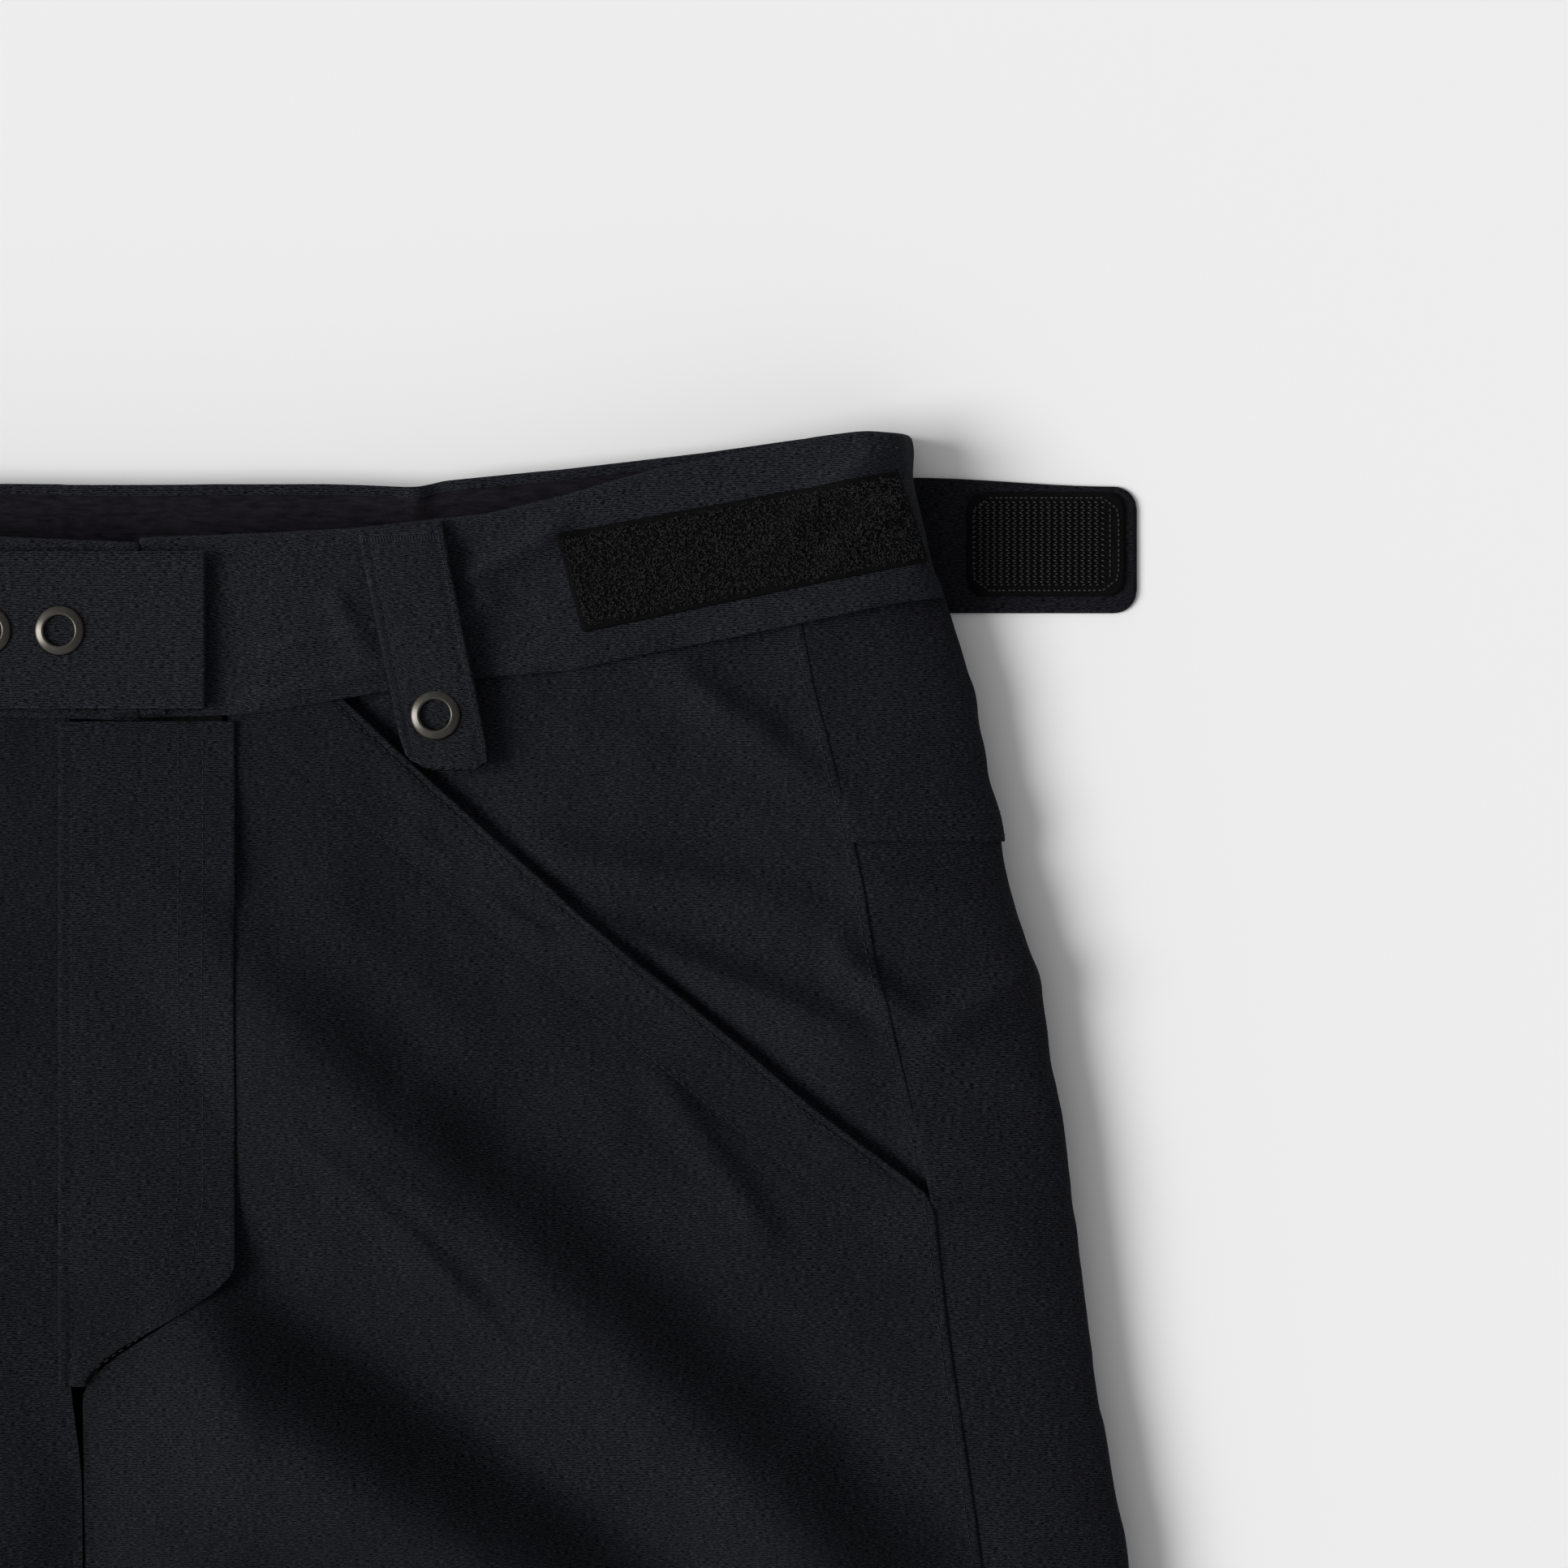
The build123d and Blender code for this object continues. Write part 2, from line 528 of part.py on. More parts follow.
def main():
    save("left_front_thigh_panel", thigh_front(FLY_W + SEAM_GAP, FLY_BOTTOM - 26))
    save("right_front_thigh_panel", mirrored(thigh_front(-FLY_EDGE + GAP, FLY_BOTTOM - 0.5)))
    both("back_thigh_panel", thigh_back())
    both("side_yoke", side_yoke())
    both("side_thigh_panel", side_thigh())
    both("inner_thigh_panel", inner_leg(LEG_STATIONS[:6], CROTCH + 0.3, KNEE - SEAM_GAP))
    save("crotch_gusset", crotch_gusset())
    both("front_shin_panel", shin_plate(LOFT - CLOTH, LOFT))
    both("back_shin_panel", shin_plate(0, CLOTH))
    both("side_shin_panel", side_shin())
    both("inner_shin_panel", inner_leg(LEG_STATIONS[5:], KNEE + SEAM_GAP, LENGTH))
    both("scuff_guard", scuff_guard())
    both("gaiter", gaiter())
    both("gaiter_cuff", gaiter_cuff())

    save("waistband_front_left", band_front(14.6))
    save("waistband_front_right", band_front_right())
    save("waistband_back", band_back(BACK_BAND_Z, BACK_BAND_Z + BAND_T))
    save("waistband_back_lining", band_back(BACK_BAND_Z + BAND_T + GAP, BACK_BAND_Z + BAND_T + GAP + LINING_T, 1.5))
    save("waistband_front_linings", [front_lining(), mirrored(front_lining())])
    both("loop_tape", loop_tape())
    save("tab_roots", [tab_root(), mirrored(tab_root())])
    both("adjuster_tab", adjuster_tab())
    both("hook_tape", hook_tape())

    both("pocket_backing", pocket_backing())
    both("pocket_bag", pocket_bag())
    both("belt_loop", belt_loop())
    x, d = SNAP_AT
    both("loop_snap_ring", disc(x, d, RING_R, 28.5, 28.5 + RING_T, RING_HOLE))
    both("loop_snap_socket", disc(x, d, SOCKET_R, 26.9 - SOCKET_T, 26.9, SOCKET_BORE))
    left_stud = stud(x, d, BACKING_HIGH + 0.1, 26.2)
    save("loop_snap_studs", [left_stud, mirrored(left_stud)])
    save("rear_belt_loops", rear_belt_loops())

    x0, x1 = CLOSURE_X
    d0, d1 = CLOSURE_DEPTH
    save("waist_tab", slab(x0, x1, d0, d1, CLOSURE_Z, CLOSURE_Z + CLOSURE_T))
    middle = (d0 + d1) / 2
    ring_z = CLOSURE_Z + CLOSURE_T + 0.1
    save("waist_tab_snap_rings", [disc(s, middle, RING_R, ring_z, ring_z + RING_T, RING_HOLE)
                                  for s in CLOSURE_SNAPS])
    save("waist_tab_snap_sockets", [disc(s, middle, SOCKET_R, CLOSURE_Z - 1.9, CLOSURE_Z - 0.1, SOCKET_BORE)
                                    for s in CLOSURE_SNAPS])
    save("waist_tab_snap_studs", [stud(s, middle, LOFT + 0.05, 26.2) for s in CLOSURE_SNAPS])

    save("fly_flap", fly_flap())
    save("fly_underlap", slab(-34, 34, FLY_TOP, FLY_BOTTOM - 4, ZIP_Z - 3.8, ZIP_Z - 2.8))
    save("fly_zip_tapes", [zip_tape(-1), zip_tape(1)])
    save("fly_zip_teeth", zip_teeth())
    save("fly_zip_slider", zip_slider())
    save("fly_zip_pull", zip_pull())


main()
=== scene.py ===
import bpy
import math
import numpy as np
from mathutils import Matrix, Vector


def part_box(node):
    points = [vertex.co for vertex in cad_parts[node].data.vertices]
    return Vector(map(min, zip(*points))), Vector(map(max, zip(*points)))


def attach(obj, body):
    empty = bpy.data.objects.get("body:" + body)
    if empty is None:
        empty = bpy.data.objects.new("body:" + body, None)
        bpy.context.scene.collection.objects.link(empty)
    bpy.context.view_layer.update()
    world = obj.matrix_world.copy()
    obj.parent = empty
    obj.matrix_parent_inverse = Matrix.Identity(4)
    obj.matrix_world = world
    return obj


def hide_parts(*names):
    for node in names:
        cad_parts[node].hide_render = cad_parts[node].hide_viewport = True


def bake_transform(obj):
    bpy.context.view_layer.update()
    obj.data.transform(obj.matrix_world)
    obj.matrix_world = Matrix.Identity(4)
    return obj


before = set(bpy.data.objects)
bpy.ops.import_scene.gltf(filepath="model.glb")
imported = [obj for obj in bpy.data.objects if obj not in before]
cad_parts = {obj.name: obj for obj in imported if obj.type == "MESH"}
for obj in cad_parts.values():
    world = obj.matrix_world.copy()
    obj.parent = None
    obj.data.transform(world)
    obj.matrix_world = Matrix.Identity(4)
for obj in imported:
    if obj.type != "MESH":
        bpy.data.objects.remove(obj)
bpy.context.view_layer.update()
mm = 0.001
sides = {"left": 1, "right": -1}
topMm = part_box("waistband_front_left")[1][1] / mm      # the waist edge; depths are counted down from here

# camera and light first; the floor is made at the end
view = dict(middleX=173.2, middleDepth=87.0, width=386.4, lens=200.0, surface=24.0)
camData = bpy.data.cameras.new("overhead")
camData.lens, camData.sensor_width = view["lens"], 36.0
camData.clip_start, camData.clip_end = 0.05, 60.0
cam = bpy.data.objects.new("overhead", camData)
cam.location = (view["middleX"] * mm, (topMm - view["middleDepth"]) * mm,
                (view["surface"] + view["width"] * view["lens"] / 36.0) * mm)
bpy.context.scene.collection.objects.link(cam)
bpy.context.scene.camera = cam

light = dict(strength=2.70, softness=32.0, height=41.5, turn=-5.0, fill=0.45, lean=0.62)
sunData = bpy.data.lights.new("bigSoftbox", "SUN")
sunData.energy, sunData.angle = light["strength"], math.radians(light["softness"])
sun = bpy.data.objects.new("bigSoftbox", sunData)
sun.rotation_euler = (0, -math.radians(90 - light["height"]), -math.radians(light["turn"]))
bpy.context.scene.collection.objects.link(sun)
world = bpy.data.worlds.new("studio")
bpy.context.scene.world = world
world.use_nodes = True
world.node_tree.nodes["Background"].inputs["Color"].default_value = (1, 1, 1, 1)
sky = world.node_tree
toward = sky.nodes.new("ShaderNodeTexCoord")
split = sky.nodes.new("ShaderNodeVectorMath")
split.operation = "DOT_PRODUCT"
split.inputs[1].default_value = (1, 0.3, 0)
sky.links.new(toward.outputs["Generated"], split.inputs[0])
slope = sky.nodes.new("ShaderNodeMath")
slope.operation = "MULTIPLY_ADD"
slope.inputs[1].default_value, slope.inputs[2].default_value = -light["fill"] * light["lean"], light["fill"]
sky.links.new(split.outputs["Value"], slope.inputs[0])
sky.links.new(slope.outputs[0], sky.nodes["Background"].inputs["Strength"])
bpy.context.scene.view_settings.view_transform = "Standard"


# curves, waves and folds
def curve(pairs, soft=3.0):
    # straight runs between the pairs, averaged over a bell of that half width; the ends run on straight
    t, v = np.array(pairs, float).T
    fine = np.arange(t[0] - 8 * soft, t[-1] + 8 * soft, 0.5)
    rise, fall = (v[1] - v[0]) / (t[1] - t[0]), (v[-1] - v[-2]) / (t[-1] - t[-2])
    run = np.interp(fine, t, v) + np.minimum(fine - t[0], 0) * rise + np.maximum(fine - t[-1], 0) * fall
    k = np.arange(-3 * soft, 3 * soft + 0.25, 0.5)
    bell = np.exp(-(k / soft) ** 2 / 2)
    eased = np.convolve(run, bell / bell.sum(), "same")
    n = len(k)
    eased[:n], eased[-n:] = run[:n], run[-n:]
    return lambda s: np.interp(s, fine, eased)


def ease(t):
    t = np.clip(t, 0, 1)
    return t * t * (3 - 2 * t)


def softNoise(x, y, size, seed):
    # random values on a square lattice of that size, joined by smooth steps, from -1 to 1
    table = np.random.default_rng(seed).uniform(-1, 1, (257, 257))
    u, v = x / size + 512.3, y / size + 512.7
    i, j = np.floor(u).astype(int), np.floor(v).astype(int)
    a, b = u - i, v - j
    a, b = a ** 3 * (a * (a * 6 - 15) + 10), b ** 3 * (b * (b * 6 - 15) + 10)
    i, j = i % 256, j % 256
    return (table[i, j] * (1 - a) + table[i + 1, j] * a) * (1 - b) + (table[i, j + 1] * (1 - a)
            + table[i + 1, j + 1] * a) * b


def folds(x, d, rows):
    # each row: start, end, bow, width below, width above, height. A ridge along a bowed line, bell-shaped
    # across and faded at both ends; "above" is the side to the upper right of a line that runs down to the
    # right
    z = np.zeros(np.broadcast(x, d).shape)
    for (x0, d0), (x1, d1), bow, below, above, height in rows:
        long = math.hypot(x1 - x0, d1 - d0)
        t = ((x - x0) * (x1 - x0) + (d - d0) * (d1 - d0)) / long ** 2
        s = ((x - x0) * (d1 - d0) - (d - d0) * (x1 - x0)) / long - bow * 4 * t * (1 - t)
        z += height * np.exp(-(s / np.where(s > 0, above, below)) ** 2) * ease(t / 0.3) * ease((1 - t) / 0.3)
    return z


def nearLine(x, d, line):
    # distance to a line of straight runs
    best = np.full(np.broadcast(x, d).shape, 1e9)
    for (x0, d0), (x1, d1) in zip(line, line[1:]):
        t = np.clip(((x - x0) * (x1 - x0) + (d - d0) * (d1 - d0)) / ((x1 - x0) ** 2 + (d1 - d0) ** 2), 0, 1)
        best = np.minimum(best, np.hypot(x - x0 - t * (x1 - x0), d - d0 - t * (d1 - d0)))
    return best


def steps(a, b, fine, coarse, fineFrom=4.0, fineTo=4.0):
    # positions from a to b whose spacing grows from fine at the ends to coarse in the middle
    out, at = [a], a
    while at < b - 1e-6:
        near = min((at - a) / max(fineFrom, 1e-6), (b - at) / max(fineTo, 1e-6))
        at += fine + (coarse - fine) * float(ease(near))
        out.append(at)
    out = np.array(out)
    return a + (out - a) * (b - a) / (out[-1] - a)


def unit(v):
    return v / np.maximum(np.linalg.norm(v, axis=-1, keepdims=True), 1e-12)


def laid(x, d, z):
    # points (x, -depth, z) for every pair of the given values
    x, d, z = np.broadcast_arrays(x, d, z)
    return np.stack([x, -d, z], -1)


def gridFaces(m, n):
    i, j = np.meshgrid(np.arange(m - 1), np.arange(n - 1), indexing="ij")
    a = (i * n + j).ravel()
    return np.stack([a, a + n, a + n + 1, a + 1], 1)


def makeMesh(name, points, faces, uv, material, side=1):
    # points in millimetres as (x, -depth, z); faces is a list of index arrays, one per face size
    points = np.asarray(points, float).reshape(-1, 3) * [side, 1, 1] + [0, topMm, 0]
    if side < 0:
        faces = [f[:, ::-1] for f in faces]
    mesh = bpy.data.meshes.new(name)
    mesh.vertices.add(len(points))
    mesh.vertices.foreach_set("co", (points * mm).astype(np.float32).ravel())
    sizes = np.concatenate([np.full(len(f), f.shape[1]) for f in faces])
    corners = np.concatenate([f.ravel() for f in faces])
    mesh.loops.add(len(corners))
    mesh.loops.foreach_set("vertex_index", corners.astype(np.int32))
    mesh.polygons.add(len(sizes))
    mesh.polygons.foreach_set("loop_start", np.concatenate([[0], np.cumsum(sizes)[:-1]]).astype(np.int32))
    mesh.polygons.foreach_set("use_smooth", np.ones(len(sizes), bool))
    layer = mesh.uv_layers.new(name="cloth")
    layer.data.foreach_set("uv",
                           (np.asarray(uv, float).reshape(-1, 2)[corners] * mm).astype(np.float32).ravel())
    mesh.update()
    mesh.validate()
    obj = bpy.data.objects.new(name, mesh)
    bpy.context.scene.collection.objects.link(obj)
    mesh.materials.append(material)
    return obj


def clothUv(grid, grain=0.0):
    # across: length along each row; along: length down the middle column; then turned by the cloth's grain
    step = np.linalg.norm(np.diff(grid, axis=1), axis=2)
    u = np.concatenate([np.zeros((len(grid), 1)), np.cumsum(step, 1)], 1)
    u = u + grid[:, :1, 0]
    mid = grid[:, grid.shape[1] // 2]
    v = -np.concatenate([[0], np.cumsum(np.linalg.norm(np.diff(mid, axis=0), axis=1))])[:, None] + 0 * u
    c, s = math.cos(math.radians(grain)), math.sin(math.radians(grain))
    return np.stack([u * c + v * s, v * c - u * s], -1), u, v


def rolled(grid, edge, r=0.45, tuck=2.0):
    # one edge of a grid turned under: three points round a half circle, then back inside under the cloth
    facing = {"left": grid, "right": grid[:, ::-1], "top": grid.transpose(1, 0, 2),
              "bottom": grid[::-1].transpose(1, 0, 2)}[edge]
    out = unit(facing[:, 0] - facing[:, 1])
    along = unit(np.gradient(facing[:, 0], axis=0))
    up = unit(np.cross(along, out)) * (-1 if edge in ("left", "bottom") else 1)
    ring = [facing[:, 0] + out * r * math.sin(a) - up * r * (1 - math.cos(a)) for a in (math.pi, 2.1, 1.05)]
    facing = np.concatenate([(ring[0] - out * tuck)[:, None]] + [p[:, None] for p in ring] + [facing], 1)
    return {"left": facing, "right": facing[:, ::-1], "top": facing.transpose(1, 0, 2),
            "bottom": facing.transpose(1, 0, 2)[::-1]}[edge]


def declareSheet(obj, body):
    if body:
        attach(obj, body)
    return obj


def clothPiece(name, grid, side, material, grain=0.0, body=None):
    uv, u, v = clothUv(grid, grain)
    obj = makeMesh(name, grid, [gridFaces(*grid.shape[:2])], uv, material, side)
    return declareSheet(obj, body)


def rimOf(rows):
    # the cells round a grid's rim, once round from its first column
    return np.concatenate([rows[1:-1, 0], rows[-1], rows[1:-1, -1][::-1], rows[0][::-1]])


def slab(grid, thick):
    # a grid given a thickness: its copy below, joined round the rim by a half-round edge
    n = unit(np.cross(np.gradient(grid, axis=0), np.gradient(grid, axis=1)))
    low = grid - n * thick
    rim, under = rimOf(grid), rimOf(low)
    a = np.roll(rim, -1, 0) - np.roll(rim, 1, 0)
    up = unit(rim - under)
    outward = unit(np.cross(a, up))
    outward *= np.sign(((rim - grid.reshape(-1, 3).mean(0)) * outward).sum())
    bulge = (rim + under) / 2 + outward * thick * 0.42
    m, k = grid.shape[:2]
    loop = rimOf(np.arange(m * k).reshape(m, k))
    mid = np.arange(len(loop)) + 2 * m * k
    nxt = np.roll(np.arange(len(loop)), -1)
    faces = [gridFaces(m, k), gridFaces(m, k)[:, ::-1] + m * k,
             np.stack([loop, mid, mid[nxt], loop[nxt]], 1), np.stack([mid, loop + m * k, loop[nxt] + m * k,
                     mid[nxt]], 1)]
    points = np.concatenate([grid.reshape(-1, 3), low.reshape(-1, 3), bulge])
    return points, [np.concatenate(faces)]


def slabPiece(name, grid, thick, side, material, grain=0.0, body=None):
    points, faces = slab(grid, thick)
    uv, u, v = clothUv(grid, grain)
    flat = uv.reshape(-1, 2)
    loop = rimOf(np.arange(flat.shape[0]).reshape(grid.shape[:2]))
    obj = makeMesh(name, points, faces, np.concatenate([flat, flat, flat[loop] + 0.4]), material, side)
    return declareSheet(obj, body)


def sewnLine(line, height, lift=0.0, step=0.4):
    # a run of (x, depth) laid on a height function: its points and the surface's own upward direction
    line = np.array(line, float)
    far = np.concatenate([[0], np.cumsum(np.linalg.norm(np.diff(line, axis=0), axis=1))])
    s = np.arange(0, far[-1], step)
    x, d = np.interp(s, far, line[:, 0]), np.interp(s, far, line[:, 1])
    z = height(x, d)
    up = unit(np.stack([z - height(x + 1, d), height(x, d + 1) - z, np.ones_like(z)], -1))
    return laid(x, d, z) + up * lift, up


def gridLine(grid, row=None, column=None, lift=0.0, part=(0, 1)):
    # a run along one row or one column of a grid, by fractional index
    up = unit(np.cross(np.gradient(grid, axis=0), np.gradient(grid, axis=1)))
    if row is None:
        grid, up, row = grid.transpose(1, 0, 2), up.transpose(1, 0, 2), column
    i = min(int(row), len(grid) - 2)
    f = row - i
    a, b = int(part[0] * grid.shape[1]), int(part[1] * grid.shape[1])
    up = unit(up[i] * (1 - f) + up[i + 1] * f)[a:b]
    return (grid[i] * (1 - f) + grid[i + 1] * f)[a:b] + up * lift, up


def threads(name, runs, side, material, pitch=2.25, length=1.6, wide=0.34, high=0.2, body=None, bendAt=None):
    # each stitch is a spindle of three square rings between two points, laid along its run
    shape = np.array([(a, w * math.cos(q), w * math.sin(q)) for a, w in ((-0.62, 0.75), (0, 1), (0.62, 0.75))
                      for q in (0, math.pi / 2, math.pi, 1.5 * math.pi)] + [(-1, 0, -0.8), (1, 0, -0.8)])
    ring = np.array([(r * 4 + k, r * 4 + (k + 1) % 4, r * 4 + 4 + (k + 1) % 4, r * 4 + 4 + k)
                     for r in range(2) for k in range(4)])[:, ::-1]
    caps = np.array([(12, (k + 1) % 4, k) for k in range(4)]
                    + [(13, 8 + k, 8 + (k + 1) % 4) for k in range(4)])[:, ::-1]
    points, quads, tris, start = [], [], [], 0
    for run, up in runs:
        far = np.concatenate([[0], np.cumsum(np.linalg.norm(np.diff(run, axis=0), axis=1))])
        at = np.arange(pitch / 2, far[-1] - pitch / 4, pitch)
        if len(at) == 0:
            continue
        at = at + 0.12 * np.sin(at * 7.3)
        c = np.stack([np.interp(at, far, run[:, k]) for k in range(3)], -1)
        ahead = np.stack([np.interp(at + 0.4, far, run[:, k]) - np.interp(at - 0.4, far, run[:, k])
                          for k in range(3)], -1)
        u = np.stack([np.interp(at, far, up[:, k]) for k in range(3)], -1)
        t = unit(ahead)
        s = unit(np.cross(t, u))
        t = unit(t + s * 0.05 * np.sin(at * 3.1)[:, None])
        p = (c[:, None] + t[:, None] * shape[None, :, :1] * length / 2 + s[:, None] * shape[None, :,
                1:2] * wide / 2
             + u[:, None] * shape[None, :, 2:] * high)
        points.append(p.reshape(-1, 3))
        offset = (np.arange(len(at)) * len(shape) + start)[:, None, None]
        quads.append((ring[None] + offset).reshape(-1, 4))
        tris.append((caps[None] + offset).reshape(-1, 3))
        start += len(at) * len(shape)
    points = np.concatenate(points)
    obj = makeMesh(name, points, [np.concatenate(quads), np.concatenate(tris)], points[:, :2], material, side)
    if bendAt:
        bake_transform(obj)
    else:
        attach(obj, body or "pants")
    return obj


def tubeFaces(count, rings, around):
    # four-sided faces joining each ring of a tube to the next, for many tubes at once
    i, j, k = np.meshgrid(np.arange(count), np.arange(rings - 1), np.arange(around), indexing="ij")
    at, beside = (i * rings + j) * around, (k + 1) % around
    return np.stack([at + k, at + beside, at + around + beside, at + around + k], -1).reshape(-1, 4)


def turned(name, x, d, profile, side, material, count=72, body=None, tilt=None):
    # a closed outline of (radius, height) swept round a point
    prof = np.array(profile, float)
    a = np.linspace(0, 2 * math.pi, count, endpoint=False)
    r, z = prof[:, 0][None], prof[:, 1][None] + 0 * a[:, None]
    grid = np.stack([x + r * np.cos(a)[:, None], -d + r * np.sin(a)[:, None], z], -1)
    if tilt:
        grid[..., 2] += tilt(grid[..., 0], -grid[..., 1])
    m, n = grid.shape[:2]
    i, j = np.meshgrid(np.arange(m), np.arange(n), indexing="ij")
    f = np.stack([i * n + j, (i + 1) % m * n + j, (i + 1) % m * n + (j + 1) % n, i * n + (j + 1) % n],
                 -1).reshape(-1, 4)
    obj = makeMesh(name, grid, [f], grid.reshape(-1, 3)[:, :2], material, side)
    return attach(obj, body or "pants")


# materials
def newGroup(name, inputs, outputs):
    g = bpy.data.node_groups.new(name, "ShaderNodeTree")
    for label, value in inputs:
        g.interface.new_socket(label, in_out="INPUT", socket_type="NodeSocketFloat").default_value = value
    for label in outputs:
        g.interface.new_socket(label, in_out="OUTPUT", socket_type="NodeSocketFloat")
    return g, g.nodes.new("NodeGroupInput").outputs, g.nodes.new("NodeGroupOutput").inputs


def node(tree, kind, links, **settings):
    n = tree.nodes.new(kind)
    for key, value in settings.items():
        setattr(n, key, value)
    for key, source in links.items():
        if isinstance(source, bpy.types.NodeSocket):
            tree.links.new(source, n.inputs[key])
        else:
            n.inputs[key].default_value = source
    return n


def calc(tree, operation, a, b=0.0, c=0.0):
    return node(tree, "ShaderNodeMath", {0: a, 1: b, 2: c}, operation=operation).outputs[0]


def weaveGroup():
    # ribs across the cloth, cut into small cells by the crossing yarn, with slubs and thin places
    g, given, out = newGroup("weave", [("Rib", 0.46), ("Yarn", 0.62), ("Cells", 0.3)],
                             ["Height", "Slub", "Cloud", "Thread"])
    uv = node(g, "ShaderNodeUVMap", {}, uv_map="cloth").outputs["UV"]
    flat = node(g, "ShaderNodeVectorMath", {0: uv, 1: (1000, 1000, 1000)}, operation="MULTIPLY").outputs[0]
    xy = node(g, "ShaderNodeSeparateXYZ", {0: flat}).outputs
    wander = node(g, "ShaderNodeTexNoise", {"Vector": flat, "Scale": 0.3, "Detail": 2.0}).outputs["Fac"]
    row = calc(g, "ADD", calc(g, "DIVIDE", xy[1], given["Rib"]), calc(g, "MULTIPLY", wander, 0.9))
    column = calc(g, "ADD", calc(g, "DIVIDE", xy[0], given["Yarn"]),
                  calc(g, "MULTIPLY", calc(g, "FLOOR", row), 0.5))
    ribs = calc(g, "SINE", calc(g, "MULTIPLY", row, 2 * math.pi))
    cells = calc(g, "SINE", calc(g, "MULTIPLY", column, 2 * math.pi))
    squat = node(g, "ShaderNodeVectorMath", {0: flat, 1: (0.42, 2.1, 1.0)}, operation="MULTIPLY").outputs[0]
    long = node(g, "ShaderNodeVectorMath", {0: flat, 1: (0.22, 1.5, 1.0)}, operation="MULTIPLY").outputs[0]
    slub = node(g, "ShaderNodeTexNoise", {"Vector": long, "Scale": 1.0, "Detail": 3.0,
            "Roughness": 0.65}).outputs["Fac"]
    grain = node(g, "ShaderNodeTexNoise", {"Vector": squat, "Scale": 1.9, "Detail": 1.0}).outputs["Fac"]
    cloud = node(g, "ShaderNodeTexNoise", {"Vector": flat, "Scale": 0.03, "Detail": 3.0}).outputs["Fac"]
    height = calc(g, "MULTIPLY_ADD", cells, given["Cells"], calc(g, "MULTIPLY", ribs, 0.5))
    height = calc(g, "ADD", height, calc(g, "ADD", calc(g, "MULTIPLY", slub, 1.6),
            calc(g, "MULTIPLY", grain, 1.3)))
    crown = calc(g, "MULTIPLY_ADD", cells, 0.28, calc(g, "MULTIPLY_ADD", ribs, 0.6, 0.5))
    speck = node(g, "ShaderNodeTexNoise", {"Vector": squat, "Scale": 1.9, "Detail": 1.0,
            "Roughness": 0.6}).outputs["Fac"]
    crown = calc(g, "ADD", crown, calc(g, "MULTIPLY_ADD", speck, 5.4, -2.7))
    g.links.new(node(g, "ShaderNodeClamp", {"Value": crown, "Min": -0.4, "Max": 2.2}).outputs[0],
                out["Thread"])
    g.links.new(height, out["Height"])
    g.links.new(slub, out["Slub"])
    g.links.new(cloud, out["Cloud"])
    return g


def napGroup():
    # short fibres lying all ways, for brushed and piled cloth
    g, given, out = newGroup("nap", [("Scale", 900.0), ("Stretch", 3.0)], ["Height", "Tone"])
    where = node(g, "ShaderNodeTexCoord", {}).outputs["Object"]
    pull = node(g, "ShaderNodeCombineXYZ", {0: calc(g, "DIVIDE", given["Scale"], given["Stretch"]),
                                            1: given["Scale"], 2: given["Scale"]}).outputs[0]
    spot = node(g, "ShaderNodeVectorMath", {0: where, 1: pull}, operation="MULTIPLY").outputs[0]
    fine = node(g, "ShaderNodeTexNoise", {"Vector": spot, "Scale": 1.0, "Detail": 4.0,
            "Roughness": 0.7}).outputs["Fac"]
    tone = node(g, "ShaderNodeTexNoise", {"Vector": spot, "Scale": 0.25, "Detail": 2.0}).outputs["Fac"]
    g.links.new(fine, out["Height"])
    g.links.new(tone, out["Tone"])
    return g


def wearGroup():
    # faint lint and rubbed specks, sparse, in object space
    g, given, out = newGroup("wear", [("Scale", 140.0), ("Amount", 0.5)], ["Specks", "Rub"])
    where = node(g, "ShaderNodeTexCoord", {}).outputs["Object"]
    dots = node(g, "ShaderNodeTexVoronoi", {"Vector": where, "Scale": given["Scale"]}).outputs["Distance"]
    pick = node(g, "ShaderNodeTexNoise", {"Vector": where, "Scale": 37.0, "Detail": 2.0}).outputs["Fac"]
    small = node(g, "ShaderNodeMapRange", {"Value": dots, "From Min": 0.05, "From Max": 0.0}).outputs[0]
    some = node(g, "ShaderNodeMapRange", {"Value": pick, "From Min": 0.55, "From Max": 0.7}).outputs[0]
    g.links.new(calc(g, "MULTIPLY", calc(g, "MULTIPLY", small, some), given["Amount"]), out["Specks"])
    g.links.new(node(g, "ShaderNodeTexNoise",
                     {"Vector": where, "Scale": 11.0, "Detail": 4.0}).outputs["Fac"], out["Rub"])
    return g


weave, nap, wear = weaveGroup(), napGroup(), wearGroup()


def group(tree, which, **values):
    n = node(tree, "ShaderNodeGroup", {}, node_tree=which)
    for key, value in values.items():
        n.inputs[key].default_value = value
    return n.outputs


def newMaterial(name):
    m = bpy.data.materials.new(name)
    m.use_nodes = True
    return m, m.node_tree, m.node_tree.nodes["Principled BSDF"].inputs


def toned(tree, colour, amount, dark=0.6, light=1.4, low=0.3, high=0.7):
    # the colour made darker or lighter by a mask
    factor = node(tree, "ShaderNodeMapRange", {"Value": amount, "From Min": low, "From Max": high,
                                               "To Min": dark, "To Max": light}).outputs[0]
    both = node(tree, "ShaderNodeMix",
                {6: colour if isinstance(colour, bpy.types.NodeSocket) else (*colour, 1)},
                data_type="RGBA", blend_type="MULTIPLY")
    both.inputs[0].default_value = 1.0
    tree.links.new(factor, both.inputs[7])
    return both.outputs[2]


